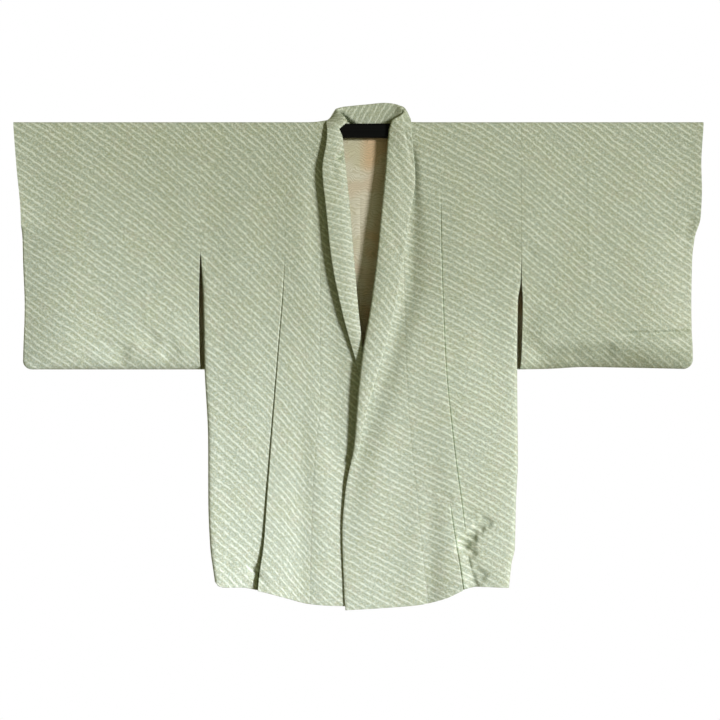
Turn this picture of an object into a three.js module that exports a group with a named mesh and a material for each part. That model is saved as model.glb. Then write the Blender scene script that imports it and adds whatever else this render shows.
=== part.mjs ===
// Kimono coat with a shawl collar, hanging on a straight bar that runs through both sleeves.
// Units are millimetres. +Z is up, +X is the wearer's left, and the coat's front faces -Y.
// The origin is the middle of the bar.
//
// Two words are used throughout. "drop" is a distance down from the shoulder line.
// "across" is a distance from the centre line towards the sleeve of the side in question,
// so one table form serves the wearer's left (side +1) and the wearer's right (side -1).
import * as THREE from "three";

// ---------- Driving dimensions ----------
const BAR = { length: 1296, height: 27, depth: 16, corner: 4 };
const CLOTH = 2; // lined silk: face cloth, lining and the air between them
const COLLAR_CLOTH = 2.4; // the collar has an interlining
const LINING = 1;
const LINING_SHORT = 0.15; // share of the last row by which the lining stops short of the hem
const SEAM = 0.3; // gap between two pieces where they are sewn together
const BAR_CLEARANCE = 0.4;
const SHOULDER_Z = BAR.height / 2 + BAR_CLEARANCE + CLOTH;
const SHOULDER_ROUND = 6; // radius of the cloth as it turns over the bar
const BODY_LENGTH = 885; // shoulder to back hem
const SLEEVE_LENGTH = 472;
const ARMHOLE = 244; // sleeve sewn to the body for this much of its length
const SIDE_ROUND = 26; // width over which a panel curves round to the side seam
const SIDE_SEAM_Y = -3;
const SIDE_OPENING = 130; // below the armhole the side is open over this length
const NECKLINE_DROP = 8; // the back neck is cut just under the shoulder line
const NECKLINE_DIP = 1.2; // and rises this much towards the shoulders
const COLLAR_ROLL = 3; // radius of the collar's roll, at the middle of the cloth
const COLLAR_END = 648;
const LEVEL_ABOVE = 700; // below this drop the rows start to follow the hem
const SLEEVE_EDGE = 4.2; // half the thickness of a sleeve where it is sewn shut
const CORNER_RADIUS = 17; // of a sleeve's lower outer corner
const BAG_FROM = 300; // below this drop a sleeve's rows follow the line of its bottom
const BOTTOM_ROUND = 40; // height over which a sleeve closes towards its bottom
const FLAT_SHARE = 0.24; // share of a sleeve's width over which it thins towards its outer edge
const SEWN_SHARE = 0.26; // how much of its depth is left at the edge where it is sewn shut
const CUFF_SHARE = 0.8; // and at the edge where it is open for the wrist
const SWAY_SHARE = 0.15; // share of the width over which the sway starts, beside the armhole
const CUFF_TURN = 14; // half the height over which the open edge turns into the shut one
const CUFF = 208; // the wrist opening, down from the shoulder

const MATERIALS = {
  silk: { color: 0xb9c4a0, roughness: 0.55, metalness: 0 },
  lining: { color: 0xd8d2ae, roughness: 0.45, metalness: 0 },
  bar: { color: 0x0b0d0c, roughness: 0.4, metalness: 0 },
};

// ---------- How far the hanging cloth stands from the bar's middle ----------
const DEPTH = [
  { drop: 0, front: -10.4, back: 12 },
  { drop: 30, front: -10.4, back: 12 },
  { drop: 120, front: -12.6, back: 12.8 },
  { drop: 244, front: -16, back: 14 },
  { drop: 400, front: -22, back: 16.5 },
  { drop: 600, front: -28, back: 19 },
  { drop: 900, front: -33, back: 22 },
];

// A tuck's step, and how far its raised and its sunken side reach.
const TUCK = { step: 10, overWidth: 70, underWidth: 30, overShare: 0.65 };

// ---------- One entry for each half of the coat ----------
const LEFT = {
  side: 1,
  neck: 84,
  firstOverlapDrop: 115,
  // armhole seam, and below it the side seam
  outline: [
    { drop: 0, across: 307 },
    { drop: 298, across: 307 },
    { drop: 340, across: 301 },
    { drop: 470, across: 299 },
    { drop: 650, across: 300 },
    { drop: 720, across: 296.5 },
    { drop: 812, across: 294 },
    { drop: 840, across: 288 },
    { drop: 885, across: 283 },
  ],
  // seam between the body panel and the overlap panel
  panelSeam: [
    { drop: 84, across: 78 },
    { drop: 226, across: 83 },
    { drop: 446, across: 87.5 },
    { drop: 572, across: 94 },
    { drop: 740, across: 111.5 },
    { drop: 920, across: 133 },
  ],
  // seam between the panels and the collar, and below the collar the front edge
  frontEdge: [
    { drop: 14, across: 83 },
    { drop: 84, across: 78 },
    { drop: 178, across: 68.5 },
    { drop: 252, across: 59 },
    { drop: 366, across: 41.5 },
    { drop: 440, across: 24.5 },
    { drop: 520, across: 9.5 },
    { drop: 585, across: -2 },
    { drop: COLLAR_END, across: -7 },
    { drop: 665, across: -19.5 },
    { drop: 700, across: -27 },
    { drop: 766, across: -33 },
    { drop: 855, across: -29.5 },
    { drop: 927, across: -25 },
  ],
  hem: [
    { across: -34, drop: 927 },
    { across: 72, drop: 921 },
    { across: 118, drop: 916.5 },
    { across: 163, drop: 904 },
    { across: 199, drop: 888 },
    { across: 224, drop: 883 },
    { across: 285, drop: 885 },
  ],
  // tucks: the cloth towards the centre lies over the cloth towards the sleeve
  tucks: [
    [
      { drop: 120, across: 152, height: 0 },
      { drop: 270, across: 155, height: 2 },
      { drop: 446, across: 161.5, height: 4 },
      { drop: 610, across: 177, height: 5.5 },
      { drop: 700, across: 189, height: 5 },
      { drop: 790, across: 200, height: 0 },
      { drop: 930, across: 207, height: 0 },
    ],
    [
      { drop: 120, across: 134, height: 0 },
      { drop: 446, across: 144, height: 0 },
      { drop: 700, across: 166, height: 0 },
      { drop: 775, across: 177, height: 6 },
      { drop: 865, across: 192, height: 10 },
      { drop: 930, across: 201, height: 12 },
    ],
  ],
  // soft hollows that run beside the collar and down the panel
  hollows: [
    [
      { drop: 44, across: 96, depth: 0, width: 12 },
      { drop: 100, across: 98, depth: 5.5, width: 15 },
      { drop: 200, across: 99, depth: 7, width: 17 },
      { drop: 300, across: 95, depth: 7, width: 20 },
      { drop: 400, across: 72, depth: 6.5, width: 22 },
      { drop: 528, across: 34, depth: 6, width: 24 },
      { drop: 608, across: 8, depth: 5, width: 24 },
      { drop: 700, across: -14, depth: 3, width: 24 },
      { drop: 800, across: -26, depth: 0, width: 24 },
    ],
    [
      { drop: 600, across: 140, depth: 0, width: 18 },
      { drop: 760, across: 136, depth: 3, width: 20 },
      { drop: 930, across: 130, depth: 5, width: 22 },
    ],
  ],
  // how far the front edge is lifted by what lies under it
  lift: [
    { drop: 0, out: 0 },
    { drop: 300, out: 0 },
    { drop: 366, out: 5 },
    { drop: 430, out: 11 },
    { drop: 470, out: 13.5 },
    { drop: 560, out: 14 },
    { drop: 640, out: 13 },
    { drop: 700, out: 10 },
    { drop: 770, out: 6.5 },
    { drop: 930, out: 4 },
  ],
  liftWidth: { full: 26, end: 110 },
  // the collar in front: its roll, its free edge, and how far that edge stands off the coat
  collar: [
    { drop: 14, roll: 55, leaf: 97, stand: 6 },
    { drop: 44, roll: 52, leaf: 99.5, stand: 6 },
    { drop: 104, roll: 47.5, leaf: 104.5, stand: 6 },
    { drop: 184, roll: 39.5, leaf: 94, stand: 7.5 },
    { drop: 252, roll: 33, leaf: 83, stand: 8 },
    { drop: 366, roll: 18, leaf: 63.5, stand: 8.5 },
    { drop: 440, roll: 5, leaf: 43.5, stand: 7.5 },
    { drop: 520, roll: -4, leaf: 20, stand: 7 },
    { drop: 585, roll: -9, leaf: 4, stand: 6.5 },
    { drop: COLLAR_END, roll: -14.5, leaf: -6.5, stand: 5 },
  ],
  sleeve: {
    outer: [
      { drop: 0, across: 655 },
      { drop: 82, across: 650.5 },
      { drop: 127, across: 651.5 },
      { drop: 180, across: 649 },
      { drop: 218, across: 640 },
      { drop: 264, across: 634.5 },
      { drop: 400, across: 632.5 },
      { drop: 472, across: 637 },
    ],
    inner: [
      { drop: 0, across: 307 },
      { drop: 298, across: 307.5 },
      { drop: 340, across: 309.5 },
      { drop: 472, across: 306 },
    ],
    bottom: [
      { across: 300, drop: 472 },
      { across: 360, drop: 471 },
      { across: 430, drop: 467.5 },
      { across: 500, drop: 468.5 },
      { across: 660, drop: 472 },
    ],
    // the front of the bag swings out above its bottom, and the back follows it
    sway: [
      { drop: 0, out: 0 },
      { drop: 250, out: 0 },
      { drop: 400, out: 7 },
      { drop: 472, out: 1 },
    ],
  },
};

const RIGHT = {
  side: -1,
  neck: 55,
  firstOverlapDrop: 80,
  outline: [
    { drop: 0, across: 304 },
    { drop: 246, across: 303.5 },
    { drop: 340, across: 299 },
    { drop: 467, across: 296 },
    { drop: 606, across: 289 },
    { drop: 720, across: 288.5 },
    { drop: 812, across: 285 },
    { drop: 885, across: 276 },
  ],
  panelSeam: [
    { drop: 70, across: 54.5 },
    { drop: 184, across: 73 },
    { drop: 346, across: 76 },
    { drop: 528, across: 75 },
    { drop: 629, across: 85 },
    { drop: 740, across: 91 },
    { drop: 920, across: 97 },
  ],
  frontEdge: [
    { drop: 14, across: 55 },
    { drop: 84, across: 51.5 },
    { drop: 165, across: 42 },
    { drop: 262, across: 32 },
    { drop: 366, across: 17.5 },
    { drop: 416, across: 8 },
    { drop: 460, across: -2.5 },
    { drop: 520, across: -14 },
    { drop: 585, across: -28 },
    { drop: COLLAR_END, across: -42 },
    { drop: 665, across: -50 },
    { drop: 720, across: -55 },
    { drop: 921, across: -57 },
  ],
  hem: [
    { across: -57, drop: 921 },
    { across: 49, drop: 919 },
    { across: 96, drop: 915.5 },
    { across: 141, drop: 904 },
    { across: 186, drop: 892 },
    { across: 228, drop: 885 },
    { across: 262, drop: 885 },
    { across: 276, drop: 878 },
  ],
  tucks: [
    [
      { drop: 120, across: 138, height: 0 },
      { drop: 256, across: 142.5, height: 0.6 },
      { drop: 340, across: 147, height: 3 },
      { drop: 433, across: 154.5, height: 5 },
      { drop: 565, across: 165, height: 6.5 },
      { drop: 695, across: 175, height: 8 },
      { drop: 804, across: 183, height: 10.5 },
      { drop: 868, across: 192, height: 14 },
      { drop: 930, across: 197, height: 15 },
    ],
  ],
  hollows: [
    [
      { drop: 44, across: 86, depth: 0, width: 14 },
      { drop: 110, across: 88, depth: 2.5, width: 16 },
      { drop: 240, across: 80, depth: 3.5, width: 20 },
      { drop: 420, across: 50, depth: 3.5, width: 26 },
      { drop: 600, across: 40, depth: 2, width: 28 },
      { drop: 930, across: 40, depth: 2, width: 30 },
    ],
    [
      { drop: 400, across: 104, depth: 0, width: 20 },
      { drop: 600, across: 108, depth: 4, width: 22 },
      { drop: 780, across: 108, depth: 5, width: 24 },
      { drop: 930, across: 112, depth: 4, width: 26 },
    ],
  ],
  // the covered edge lies back, to leave room for the panel over it
  lift: [
    { drop: 0, out: 0 },
    { drop: 340, out: 0 },
    { drop: 460, out: -3 },
    { drop: 930, out: -4.5 },
  ],
  liftWidth: { full: 70, end: 130 },
  collar: [
    { drop: 14, roll: 39.5, leaf: 62, stand: 8 },
    { drop: 44, roll: 31.5, leaf: 64, stand: 11 },
    { drop: 91, roll: 26.5, leaf: 71, stand: 13 },
    { drop: 165, roll: 19, leaf: 64, stand: 14 },
    { drop: 262, roll: 11, leaf: 53.5, stand: 14 },
    { drop: 366, roll: 2, leaf: 32.5, stand: 12 },
    { drop: 416, roll: -4, leaf: 19, stand: 7 },
    { drop: 460, roll: -11.5, leaf: 6, stand: 5 },
    { drop: 520, roll: -22, leaf: -9, stand: 5 },
    { drop: 585, roll: -36, leaf: -25, stand: 5 },
    { drop: COLLAR_END, roll: -49.5, leaf: -42, stand: 5 },
  ],
  sleeve: {
    outer: [
      { drop: 0, across: 661 },
      { drop: 82, across: 655 },
      { drop: 173, across: 646.5 },
      { drop: 264, across: 644 },
      { drop: 355, across: 640.5 },
      { drop: 472, across: 644 },
    ],
    inner: [
      { drop: 0, across: 304 },
      { drop: 246, across: 304 },
      { drop: 340, across: 306.5 },
      { drop: 472, across: 304.5 },
    ],
    bottom: [
      { across: 300, drop: 472 },
      { across: 660, drop: 472 },
    ],
    sway: [
      { drop: 0, out: 0 },
      { drop: 300, out: 1 },
      { drop: 400, out: 3 },
      { drop: 472, out: 0 },
    ],
  },
};

// The collar round the neck, from the wearer's left shoulder over the back to the right shoulder:
// its sewn edge, its roll (the crest) and its free edge, each as [x, y, z].
const NECK = [
  { seam: [82.3, -9.6, 11], roll: [60, -17, 17], leaf: [97, -14, 13] },
  { seam: [82.2, -6, 16.3], roll: [75, -10.5, 27], leaf: [98, -6, 20] },
  { seam: [82, 4, 17.5], roll: [84, 0, 38], leaf: [99, 4, 21] },
  { seam: [79.5, 9.5, 13.5], roll: [83, 7.5, 46], leaf: [97, 17, 14] },
  { seam: [70, 11.3, 9.6], roll: [73, 12.5, 51.5], leaf: [86, 23, 8] },
  { seam: [50, 11.4, 9], roll: [52, 15, 55.5], leaf: [62, 26, 5] },
  { seam: [15, 11.4, 8.5], roll: [15, 16, 53], leaf: [16, 27, 3] },
  { seam: [-18, 11.4, 8.6], roll: [-19, 15, 49.5], leaf: [-22, 26, 4] },
  { seam: [-40, 11.3, 9.2], roll: [-35, 12, 47], leaf: [-47, 23, 8] },
  { seam: [-50, 9.5, 13.5], roll: [-43, 5, 42.5], leaf: [-59, 17, 14] },
  { seam: [-53, 4, 17.5], roll: [-41, -2, 37.5], leaf: [-62, 4, 20] },
  { seam: [-53.2, -6, 16.3], roll: [-35, -9, 29], leaf: [-63, -6, 20] },
  { seam: [-53.3, -9.6, 11], roll: [-30, -16, 15], leaf: [-64, -14, 14] },
];

// ---------- Where the rows and columns of the cloth lie ----------
const FRONT_DROPS = [
  14, 44, 80, 115, 160, 205, ARMHOLE, 285, 325, 370, 415, 460, 505, 550, 600, COLLAR_END,
  665, LEVEL_ABOVE, 750, 800, 845, BODY_LENGTH,
];
const BACK_DROPS = [14, 60, 120, 180, ARMHOLE, 285, 370, 480, 600, 700, 800, BODY_LENGTH];
const SLEEVE_DROPS = [30, 90, 150, CUFF - 12, CUFF, 232, 290, 350, 400, 436, 458, 469];
const SLEEVE_STATIONS = [0, 0.1, 0.24, 0.4, 0.56, 0.7, 0.82, 0.9, 0.95, 0.98, 1];
const SIDE_TURN = [0.35, 0.68, 0.94, 1]; // stations on the curve round to the side seam
const OVERLAP_COLUMNS = 7;
const BACK_FOLDS = [
  { across: 52, height: 2.5, width: 30, from: 200 },
  { across: 118, height: -3.5, width: 34, from: 120 },
  { across: 186, height: 3.5, width: 36, from: 260 },
  { across: 246, height: -2.5, width: 26, from: 300 },
];

// ---------- Small tools ----------
const mix = (a, b, t) => a + (b - a) * t;
const clamp01 = (t) => Math.min(1, Math.max(0, t));
const ease = (t) => clamp01(t) ** 2 * (3 - 2 * clamp01(t));
const bump = (t) => Math.exp(-t * t);
const spread = (a, b, count) =>
  Array.from({ length: count }, (_, i) => mix(a, b, i / (count - 1)));

/** A smooth curve through a table: one column as a function of another, with no overshoot. */
function curve(table, from, to) {
  const x = table.map((row) => row[from]);
  const y = table.map((row) => row[to]);
  const rise = x.slice(1).map((v, i) => (y[i + 1] - y[i]) / (v - x[i]));
  const slope = y.map((_, i) => {
    if (i === 0) return rise[0];
    if (i === y.length - 1) return rise[i - 1];
    const [a, b] = [rise[i - 1], rise[i]];
    return a * b <= 0 ? 0 : (2 * a * b) / (a + b);
  });
  return (v) => {
    if (v <= x[0]) return y[0];
    if (v >= x[x.length - 1]) return y[y.length - 1];
    const i = x.findIndex((k) => k > v) - 1;
    const step = x[i + 1] - x[i];
    const t = (v - x[i]) / step;
    const leaving = step * slope[i] * t * (1 - t) ** 2;
    const arriving = step * slope[i + 1] * t ** 2 * (1 - t);
    return mix(y[i], y[i + 1], ease(t)) + leaving - arriving;
  };
}

/** Outward normals of a grid of points, by central differences. */
function gridNormals(grid, closed) {
  const rows = grid.length;
  const columns = grid[0].length;
  return grid.map((row, i) =>
    row.map((_, j) => {
      const down = grid[Math.min(rows - 1, i + 1)][j];
      const up = grid[Math.max(0, i - 1)][j];
      const next = closed ? (j + 1) % columns : Math.min(columns - 1, j + 1);
      const last = closed ? (j + columns - 1) % columns : Math.max(0, j - 1);
      const along = new THREE.Vector3().subVectors(down, up);
      const acrossRow = new THREE.Vector3().subVectors(row[next], row[last]);
      return along.cross(acrossRow).normalize();
    }),
  );
}

/** A closed geometry from points and triangles, turned so that its faces point out. */
function closedGeometry(points, triangles) {
  const volume = triangles.reduce((sum, [a, b, c]) => {
    const cross = new THREE.Vector3().crossVectors(points[b], points[c]);
    return sum + points[a].dot(cross);
  }, 0);
  const facing = volume < 0 ? triangles.map(([a, b, c]) => [a, c, b]) : triangles;
  const geometry = new THREE.BufferGeometry();
  geometry.setAttribute(
    "position",
    new THREE.Float32BufferAttribute(points.flatMap((p) => p.toArray()), 3),
  );
  geometry.setIndex(facing.flat());
  geometry.computeVertexNormals();
  return geometry;
}

/**
 * A wall of cloth: the grid moved out by `outward` and in by `inward`, joined round its edge.
 * At the columns named in `square` it is cut square, so that two panels meet evenly in a seam.
 * `side` is the half of the coat that the grid belongs to, whose columns run away from the centre.
 */
function wall(grid, outward, inward, { side = -1, square = [] } = {}) {
  const rows = grid.length;
  const columns = grid[0].length;
  const normals = gridNormals(grid, false);
  for (const row of normals) {
    for (const j of square) row[j].setX(0).normalize();
    for (const normal of row) normal.multiplyScalar(-side);
  }
  const skin = (distance) =>
    grid.flatMap((row, i) =>
      row.map((p, j) => p.clone().addScaledVector(normals[i][j], distance)),
    );
  const points = [...skin(outward), ...skin(-inward)];
  const outer = (i, j) => i * columns + j;
  const inner = (i, j) => rows * columns + outer(i, j);
  const triangles = [];
  const quad = (a, b, c, d) => triangles.push([a, b, c], [a, c, d]);
  for (let i = 0; i + 1 < rows; i++) {
    for (let j = 0; j + 1 < columns; j++) {
      quad(outer(i, j), outer(i + 1, j), outer(i + 1, j + 1), outer(i, j + 1));
      quad(inner(i, j), inner(i, j + 1), inner(i + 1, j + 1), inner(i + 1, j));
    }
  }
  const rim = [];
  for (let j = 0; j + 1 < columns; j++) rim.push([0, j, 0, j + 1]);
  for (let i = 0; i + 1 < rows; i++) rim.push([i, columns - 1, i + 1, columns - 1]);
  for (let j = columns - 1; j > 0; j--) rim.push([rows - 1, j, rows - 1, j - 1]);
  for (let i = rows - 1; i > 0; i--) rim.push([i, 0, i - 1, 0]);
  for (const [i, j, k, l] of rim) {
    quad(outer(i, j), outer(k, l), inner(k, l), inner(i, j));
  }
  return closedGeometry(points, triangles);
}

/**
 * A bag of cloth from rings of points. Ring point 0 is the bottom, and points j and n - j lie
 * front and back at one height. The last ring is sewn shut up to point `shut`; the rest is open.
 */
function bag(rings, thickness, shut, inwards) {
  const count = rings[0].length;
  const last = rings.length - 1;
  const normals = gridNormals(rings, true);
  const sign = normals[1][Math.round(count / 4)].y < 0 ? 1 : -1;
  const outerPoints = rings.flat();
  const innerPoints = rings.flatMap((ring, i) =>
    ring.map((p, j) => {
      const moved = p.clone().addScaledVector(normals[i][j], -sign * thickness);
      return i === last ? moved.addScaledVector(inwards, thickness) : moved;
    }),
  );
  const outer = (i, j) => i * count + (j % count);
  const inner = (i, j) => rings.length * count + outer(i, j);
  const triangles = [];
  const quad = (a, b, c, d) => triangles.push([a, b, c], [a, c, d]);
  for (let i = 0; i < last; i++) {
    for (let j = 0; j < count; j++) {
      quad(outer(i, j), outer(i + 1, j), outer(i + 1, j + 1), outer(i, j + 1));
      quad(inner(i, j), inner(i, j + 1), inner(i + 1, j + 1), inner(i + 1, j));
    }
  }
  for (let j = 0; j < count; j++) {
    quad(outer(0, j), outer(0, j + 1), inner(0, j + 1), inner(0, j));
  }
  for (let j = shut; j < count - shut; j++) {
    quad(outer(last, j + 1), outer(last, j), inner(last, j), inner(last, j + 1));
  }
  triangles.push([outer(last, 1), outer(last, 0), outer(last, count - 1)]);
  triangles.push([inner(last, 0), inner(last, 1), inner(last, count - 1)]);
  for (let j = 1; j < shut; j++) {
    quad(outer(last, j + 1), outer(last, j), outer(last, count - j), outer(last, count - j - 1));
    quad(inner(last, j), inner(last, j + 1), inner(last, count - j - 1), inner(last, count - j));
  }
  quad(outer(last, count - shut), inner(last, count - shut), inner(last, shut), outer(last, shut));
  return closedGeometry([...outerPoints, ...innerPoints], triangles);
}

// ---------- The hanging form ----------
const frontDepth = curve(DEPTH, "drop", "front");
const backDepth = curve(DEPTH, "drop", "back");

/** The outer face of a front, as a function of (across, drop). */
function frontForm(half) {
  const edge = curve(half.frontEdge, "drop", "across");
  const lift = curve(half.lift, "drop", "out");
  const tucks = half.tucks.map((table) => ({
    line: curve(table, "drop", "across"),
    height: curve(table, "drop", "height"),
  }));
  const hollows = half.hollows.map((table) => ({
    line: curve(table, "drop", "across"),
    depth: curve(table, "drop", "depth"),
    width: curve(table, "drop", "width"),
  }));
  const { full, end } = half.liftWidth;
  return (across, drop) => {
    let y = frontDepth(drop);
    y -= lift(drop) * (1 - ease((across - edge(drop) - full) / (end - full)));
    for (const tuck of tucks) {
      const from = across - tuck.line(drop);
      const past = ease(0.5 + from / TUCK.step);
      const over = (1 - past) * bump(Math.min(0, from) / TUCK.overWidth);
      const under = past * bump(Math.max(0, from) / TUCK.underWidth);
      y -= tuck.height(drop) * (TUCK.overShare * over - (1 - TUCK.overShare) * under);
    }
    for (const hollow of hollows) {
      y += hollow.depth(drop) * bump((across - hollow.line(drop)) / hollow.width(drop));
    }
    return y;
  };
}

/** The outer face of the back, with soft folds that grow towards the hem. */
function backForm(across, drop) {
  const folds = BACK_FOLDS.reduce((sum, fold) => {
    const growth = ease((drop - fold.from) / 500);
    return sum + growth * fold.height * bump((across - fold.across) / fold.width);
  }, 0);
  return backDepth(drop) + folds;
}

/** The path of the cloth over the bar, from front to back: depth y and drop. */
function shoulderPath() {
  const [front, back] = [frontDepth(0), backDepth(0)];
  const turn = (centre, from, to) =>
    spread(from, to, 3).map((angle) => ({
      y: centre + SHOULDER_ROUND * Math.sin(angle),
      drop: SHOULDER_ROUND * (1 - Math.cos(angle)),
    }));
  return [
    ...turn(front + SHOULDER_ROUND, -Math.PI / 2, 0),
    ...turn(back - SHOULDER_ROUND, 0, Math.PI / 2),
  ];
}

const point = (half, across, y, drop) =>
  new THREE.Vector3(half.side * across, y, SHOULDER_Z - drop);

/** Drop of a level row at this place: low rows bend to follow the hem. */
function hemmed(hem, across, level) {
  if (level <= LEVEL_ABOVE) return level;
  const share = (level - LEVEL_ABOVE) / (BODY_LENGTH - LEVEL_ABOVE);
  return LEVEL_ABOVE + share * (hem(across) - LEVEL_ABOVE);
}

// ---------- Pieces ----------
/** Places across a front, closest together at the tucks. */
function frontColumns(half, inner, outer, drop) {
  const lines = half.tucks.map((table) => curve(table, "drop", "across")(drop));
  const first = Math.min(...lines);
  const last = Math.max(...lines);
  const nearTucks =
    lines.length > 1
      ? [first - 5, first, first + 5, mix(first, last, 0.55), last - 4, last, last + 5]
      : [first - 14, first - 5, first - 1.5, first + 1.5, first + 5, first + 14, first + 30];
  const towardsCentre = spread(inner, nearTucks[0], 5).slice(0, -1);
  const towardsSide = spread(nearTucks[nearTucks.length - 1], outer, 4).slice(1);
  return [...towardsCentre, ...nearTucks, ...towardsSide];
}

/** One row of a body panel, level except near the hem, and curved round to the side seam. */
function bodyRow(half, { level, columns, form, hem, seamY }) {
  const side = curve(half.outline, "drop", "across")(level);
  const straight = side - SIDE_ROUND;
  const turning = ease((level - ARMHOLE) / SIDE_OPENING);
  const flatPoints = columns.map((across) => {
    const drop = hemmed(hem, across, level);
    return point(half, across, form(across, drop), drop);
  });
  const roundPoints = SIDE_TURN.map((t) => {
    const angle = (t * Math.PI) / 2;
    const across = mix(straight, side, mix(t, Math.sin(angle), turning));
    const drop = hemmed(hem, across, level);
    const y = form(across, drop);
    return point(half, across, mix(y, seamY + (y - seamY) * Math.cos(angle), turning), drop);
  });
  return [...flatPoints, ...roundPoints];
}

/** Rows of the back, from the neckline down. Its columns spread out evenly below the shoulder. */
function backRows(half) {
  const outer = (level) => curve(half.outline, "drop", "across")(level) - SIDE_ROUND;
  const neck = half.neck + SEAM / 2;
  const atShoulder = frontColumns(half, neck, outer(0), 0);
  return [NECKLINE_DROP - NECKLINE_DIP, NECKLINE_DROP, ...BACK_DROPS].map((level, i) => {
    const inner = i === 0 ? neck : SEAM / 2;
    const even = spread(inner, outer(level), atShoulder.length);
    const share = i === 0 ? 0 : ease(0.3 + level / 200);
    const columns = atShoulder.map((across, j) =>
      mix(mix(inner, across, (across - neck) / (outer(0) - neck)), even[j], share),
    );
    return bodyRow(half, {
      level,
      columns,
      form: backForm,
      hem: () => BODY_LENGTH,
      seamY: SIDE_SEAM_Y + SEAM / 2,
    });
  });
}

/** One body panel: front and back in one length of cloth, with no seam on the shoulder. */
function bodyPanel(half) {
  const hem = curve(half.hem, "across", "drop");
  const side = curve(half.outline, "drop", "across");
  const collarSeam = curve(half.frontEdge, "drop", "across");
  const panelSeam = curve(half.panelSeam, "drop", "across");
  const front = frontForm(half);
  const frontRows = FRONT_DROPS.map((level) => {
    const inner = level < half.firstOverlapDrop ? collarSeam(level) : panelSeam(level);
    const columns = frontColumns(half, inner + SEAM / 2, side(level) - SIDE_ROUND, level);
    return bodyRow(half, { level, columns, form: front, hem, seamY: SIDE_SEAM_Y - SEAM / 2 });
  });
  const neckColumns = frontColumns(half, half.neck + SEAM / 2, side(0) - SIDE_ROUND, 0);
  const overBar = shoulderPath().map(({ y, drop }) =>
    bodyRow(half, { level: drop, columns: neckColumns, form: () => y, hem, seamY: 0 }),
  );
  return wall([...frontRows.reverse(), ...overBar, ...backRows(half)], 0, CLOTH, {
    side: half.side,
    square: [0],
  });
}

/** The lining of one half of the back: the back's own points, moved in. */
function backLining(half) {
  const rows = backRows(half).slice(1);
  const flat = rows.map((row) => row.slice(0, -SIDE_TURN.length));
  const nearHem = rows.length - 1;
  flat[nearHem] = flat[nearHem].map((p, j) => p.clone().lerp(flat[nearHem - 1][j], LINING_SHORT));
  const inset = CLOTH + SEAM;
  return wall(flat, -inset, inset + LINING, { side: half.side, square: [0] });
}

/** The overlap panel, between the body panel's seam and the collar or the front edge. */
function overlapPanel(half) {
  const front = frontForm(half);
  const hem = curve(half.hem, "across", "drop");
  const edge = curve(half.frontEdge, "drop", "across");
  const panelSeam = curve(half.panelSeam, "drop", "across");
  const rows = FRONT_DROPS.filter((level) => level >= half.firstOverlapDrop).map((level) => {
    const from = edge(level) + SEAM / 2;
    const to = panelSeam(level) - SEAM / 2;
    return spread(from, to, OVERLAP_COLUMNS).map((across) => {
      const drop = hemmed(hem, across, level);
      return point(half, across, front(across, drop), drop);
    });
  });
  return wall(rows.reverse(), 0, CLOTH, { side: half.side, square: [0, OVERLAP_COLUMNS - 1] });
}

/** A sleeve: a flat bag over the bar, open at the wrist and along its inner edge. */
function sleeve(half) {
  const outerEdge = curve(half.sleeve.outer, "drop", "across");
  const innerEdge = curve(half.sleeve.inner, "drop", "across");
  const bottom = curve(half.sleeve.bottom, "across", "drop");
  const sway = curve(half.sleeve.sway, "drop", "out");
  const top = shoulderPath();

  const ring = (station) => {
    const acrossAt = (level) => mix(innerEdge(level) + SEAM / 2, outerEdge(level), station);
    const end = acrossAt(SLEEVE_LENGTH);
    const toCorner = Math.max(0, end - (outerEdge(SLEEVE_LENGTH) - CORNER_RADIUS));
    const lowest = bottom(end) - CORNER_RADIUS + Math.sqrt(CORNER_RADIUS ** 2 - toCorner ** 2);
    const raised = (level) =>
      level * mix(1, lowest / SLEEVE_LENGTH, ease((level - BAG_FROM) / (SLEEVE_LENGTH - BAG_FROM)));
    const middle = (drop) => -sway(drop) * ease(station / SWAY_SHARE);
    const toEnd = clamp01((1 - station) / FLAT_SHARE);
    const sewn = mix(SEWN_SHARE, 1, Math.sqrt(1 - (1 - toEnd) ** 2));
    const atEdge = (drop) => mix(1, CUFF_SHARE, ease((drop - BAR.height) / (2 * BAR.height)));
    const open = (drop) => mix(atEdge(drop), 1, ease(toEnd));
    const hanging = (form) => (level) => {
      const drop = raised(level);
      const toBottom = clamp01((SLEEVE_LENGTH - level) / BOTTOM_ROUND);
      const shutHere = ease((level - CUFF + CUFF_TURN) / (2 * CUFF_TURN));
      const squeeze = mix(open(drop), sewn, shutHere);
      const away = form(drop) * squeeze * Math.sqrt(1 - (1 - toBottom) ** 2);
      const y = Math.sign(away) * Math.max(SLEEVE_EDGE, Math.abs(away));
      return point(half, acrossAt(level), y + middle(drop), drop);
    };
    const over = ({ y, drop }) => point(half, acrossAt(drop), y, drop);
    const fold = { y: (frontDepth(0) + backDepth(0)) / 2, drop: 0 };
    return [
      point(half, end, middle(lowest), lowest),
      ...[...SLEEVE_DROPS].reverse().map(hanging(frontDepth)),
      ...top.slice(0, top.length / 2).map(over),
      over(fold),
      ...top.slice(top.length / 2).map(over),
      ...SLEEVE_DROPS.map(hanging(backDepth)),
    ];
  };
  const shut = 1 + SLEEVE_DROPS.filter((level) => level > CUFF).length;
  const inwards = new THREE.Vector3(-half.side, 0, 0);
  return bag(SLEEVE_STATIONS.map(ring), CLOTH, shut, inwards);
}

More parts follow.
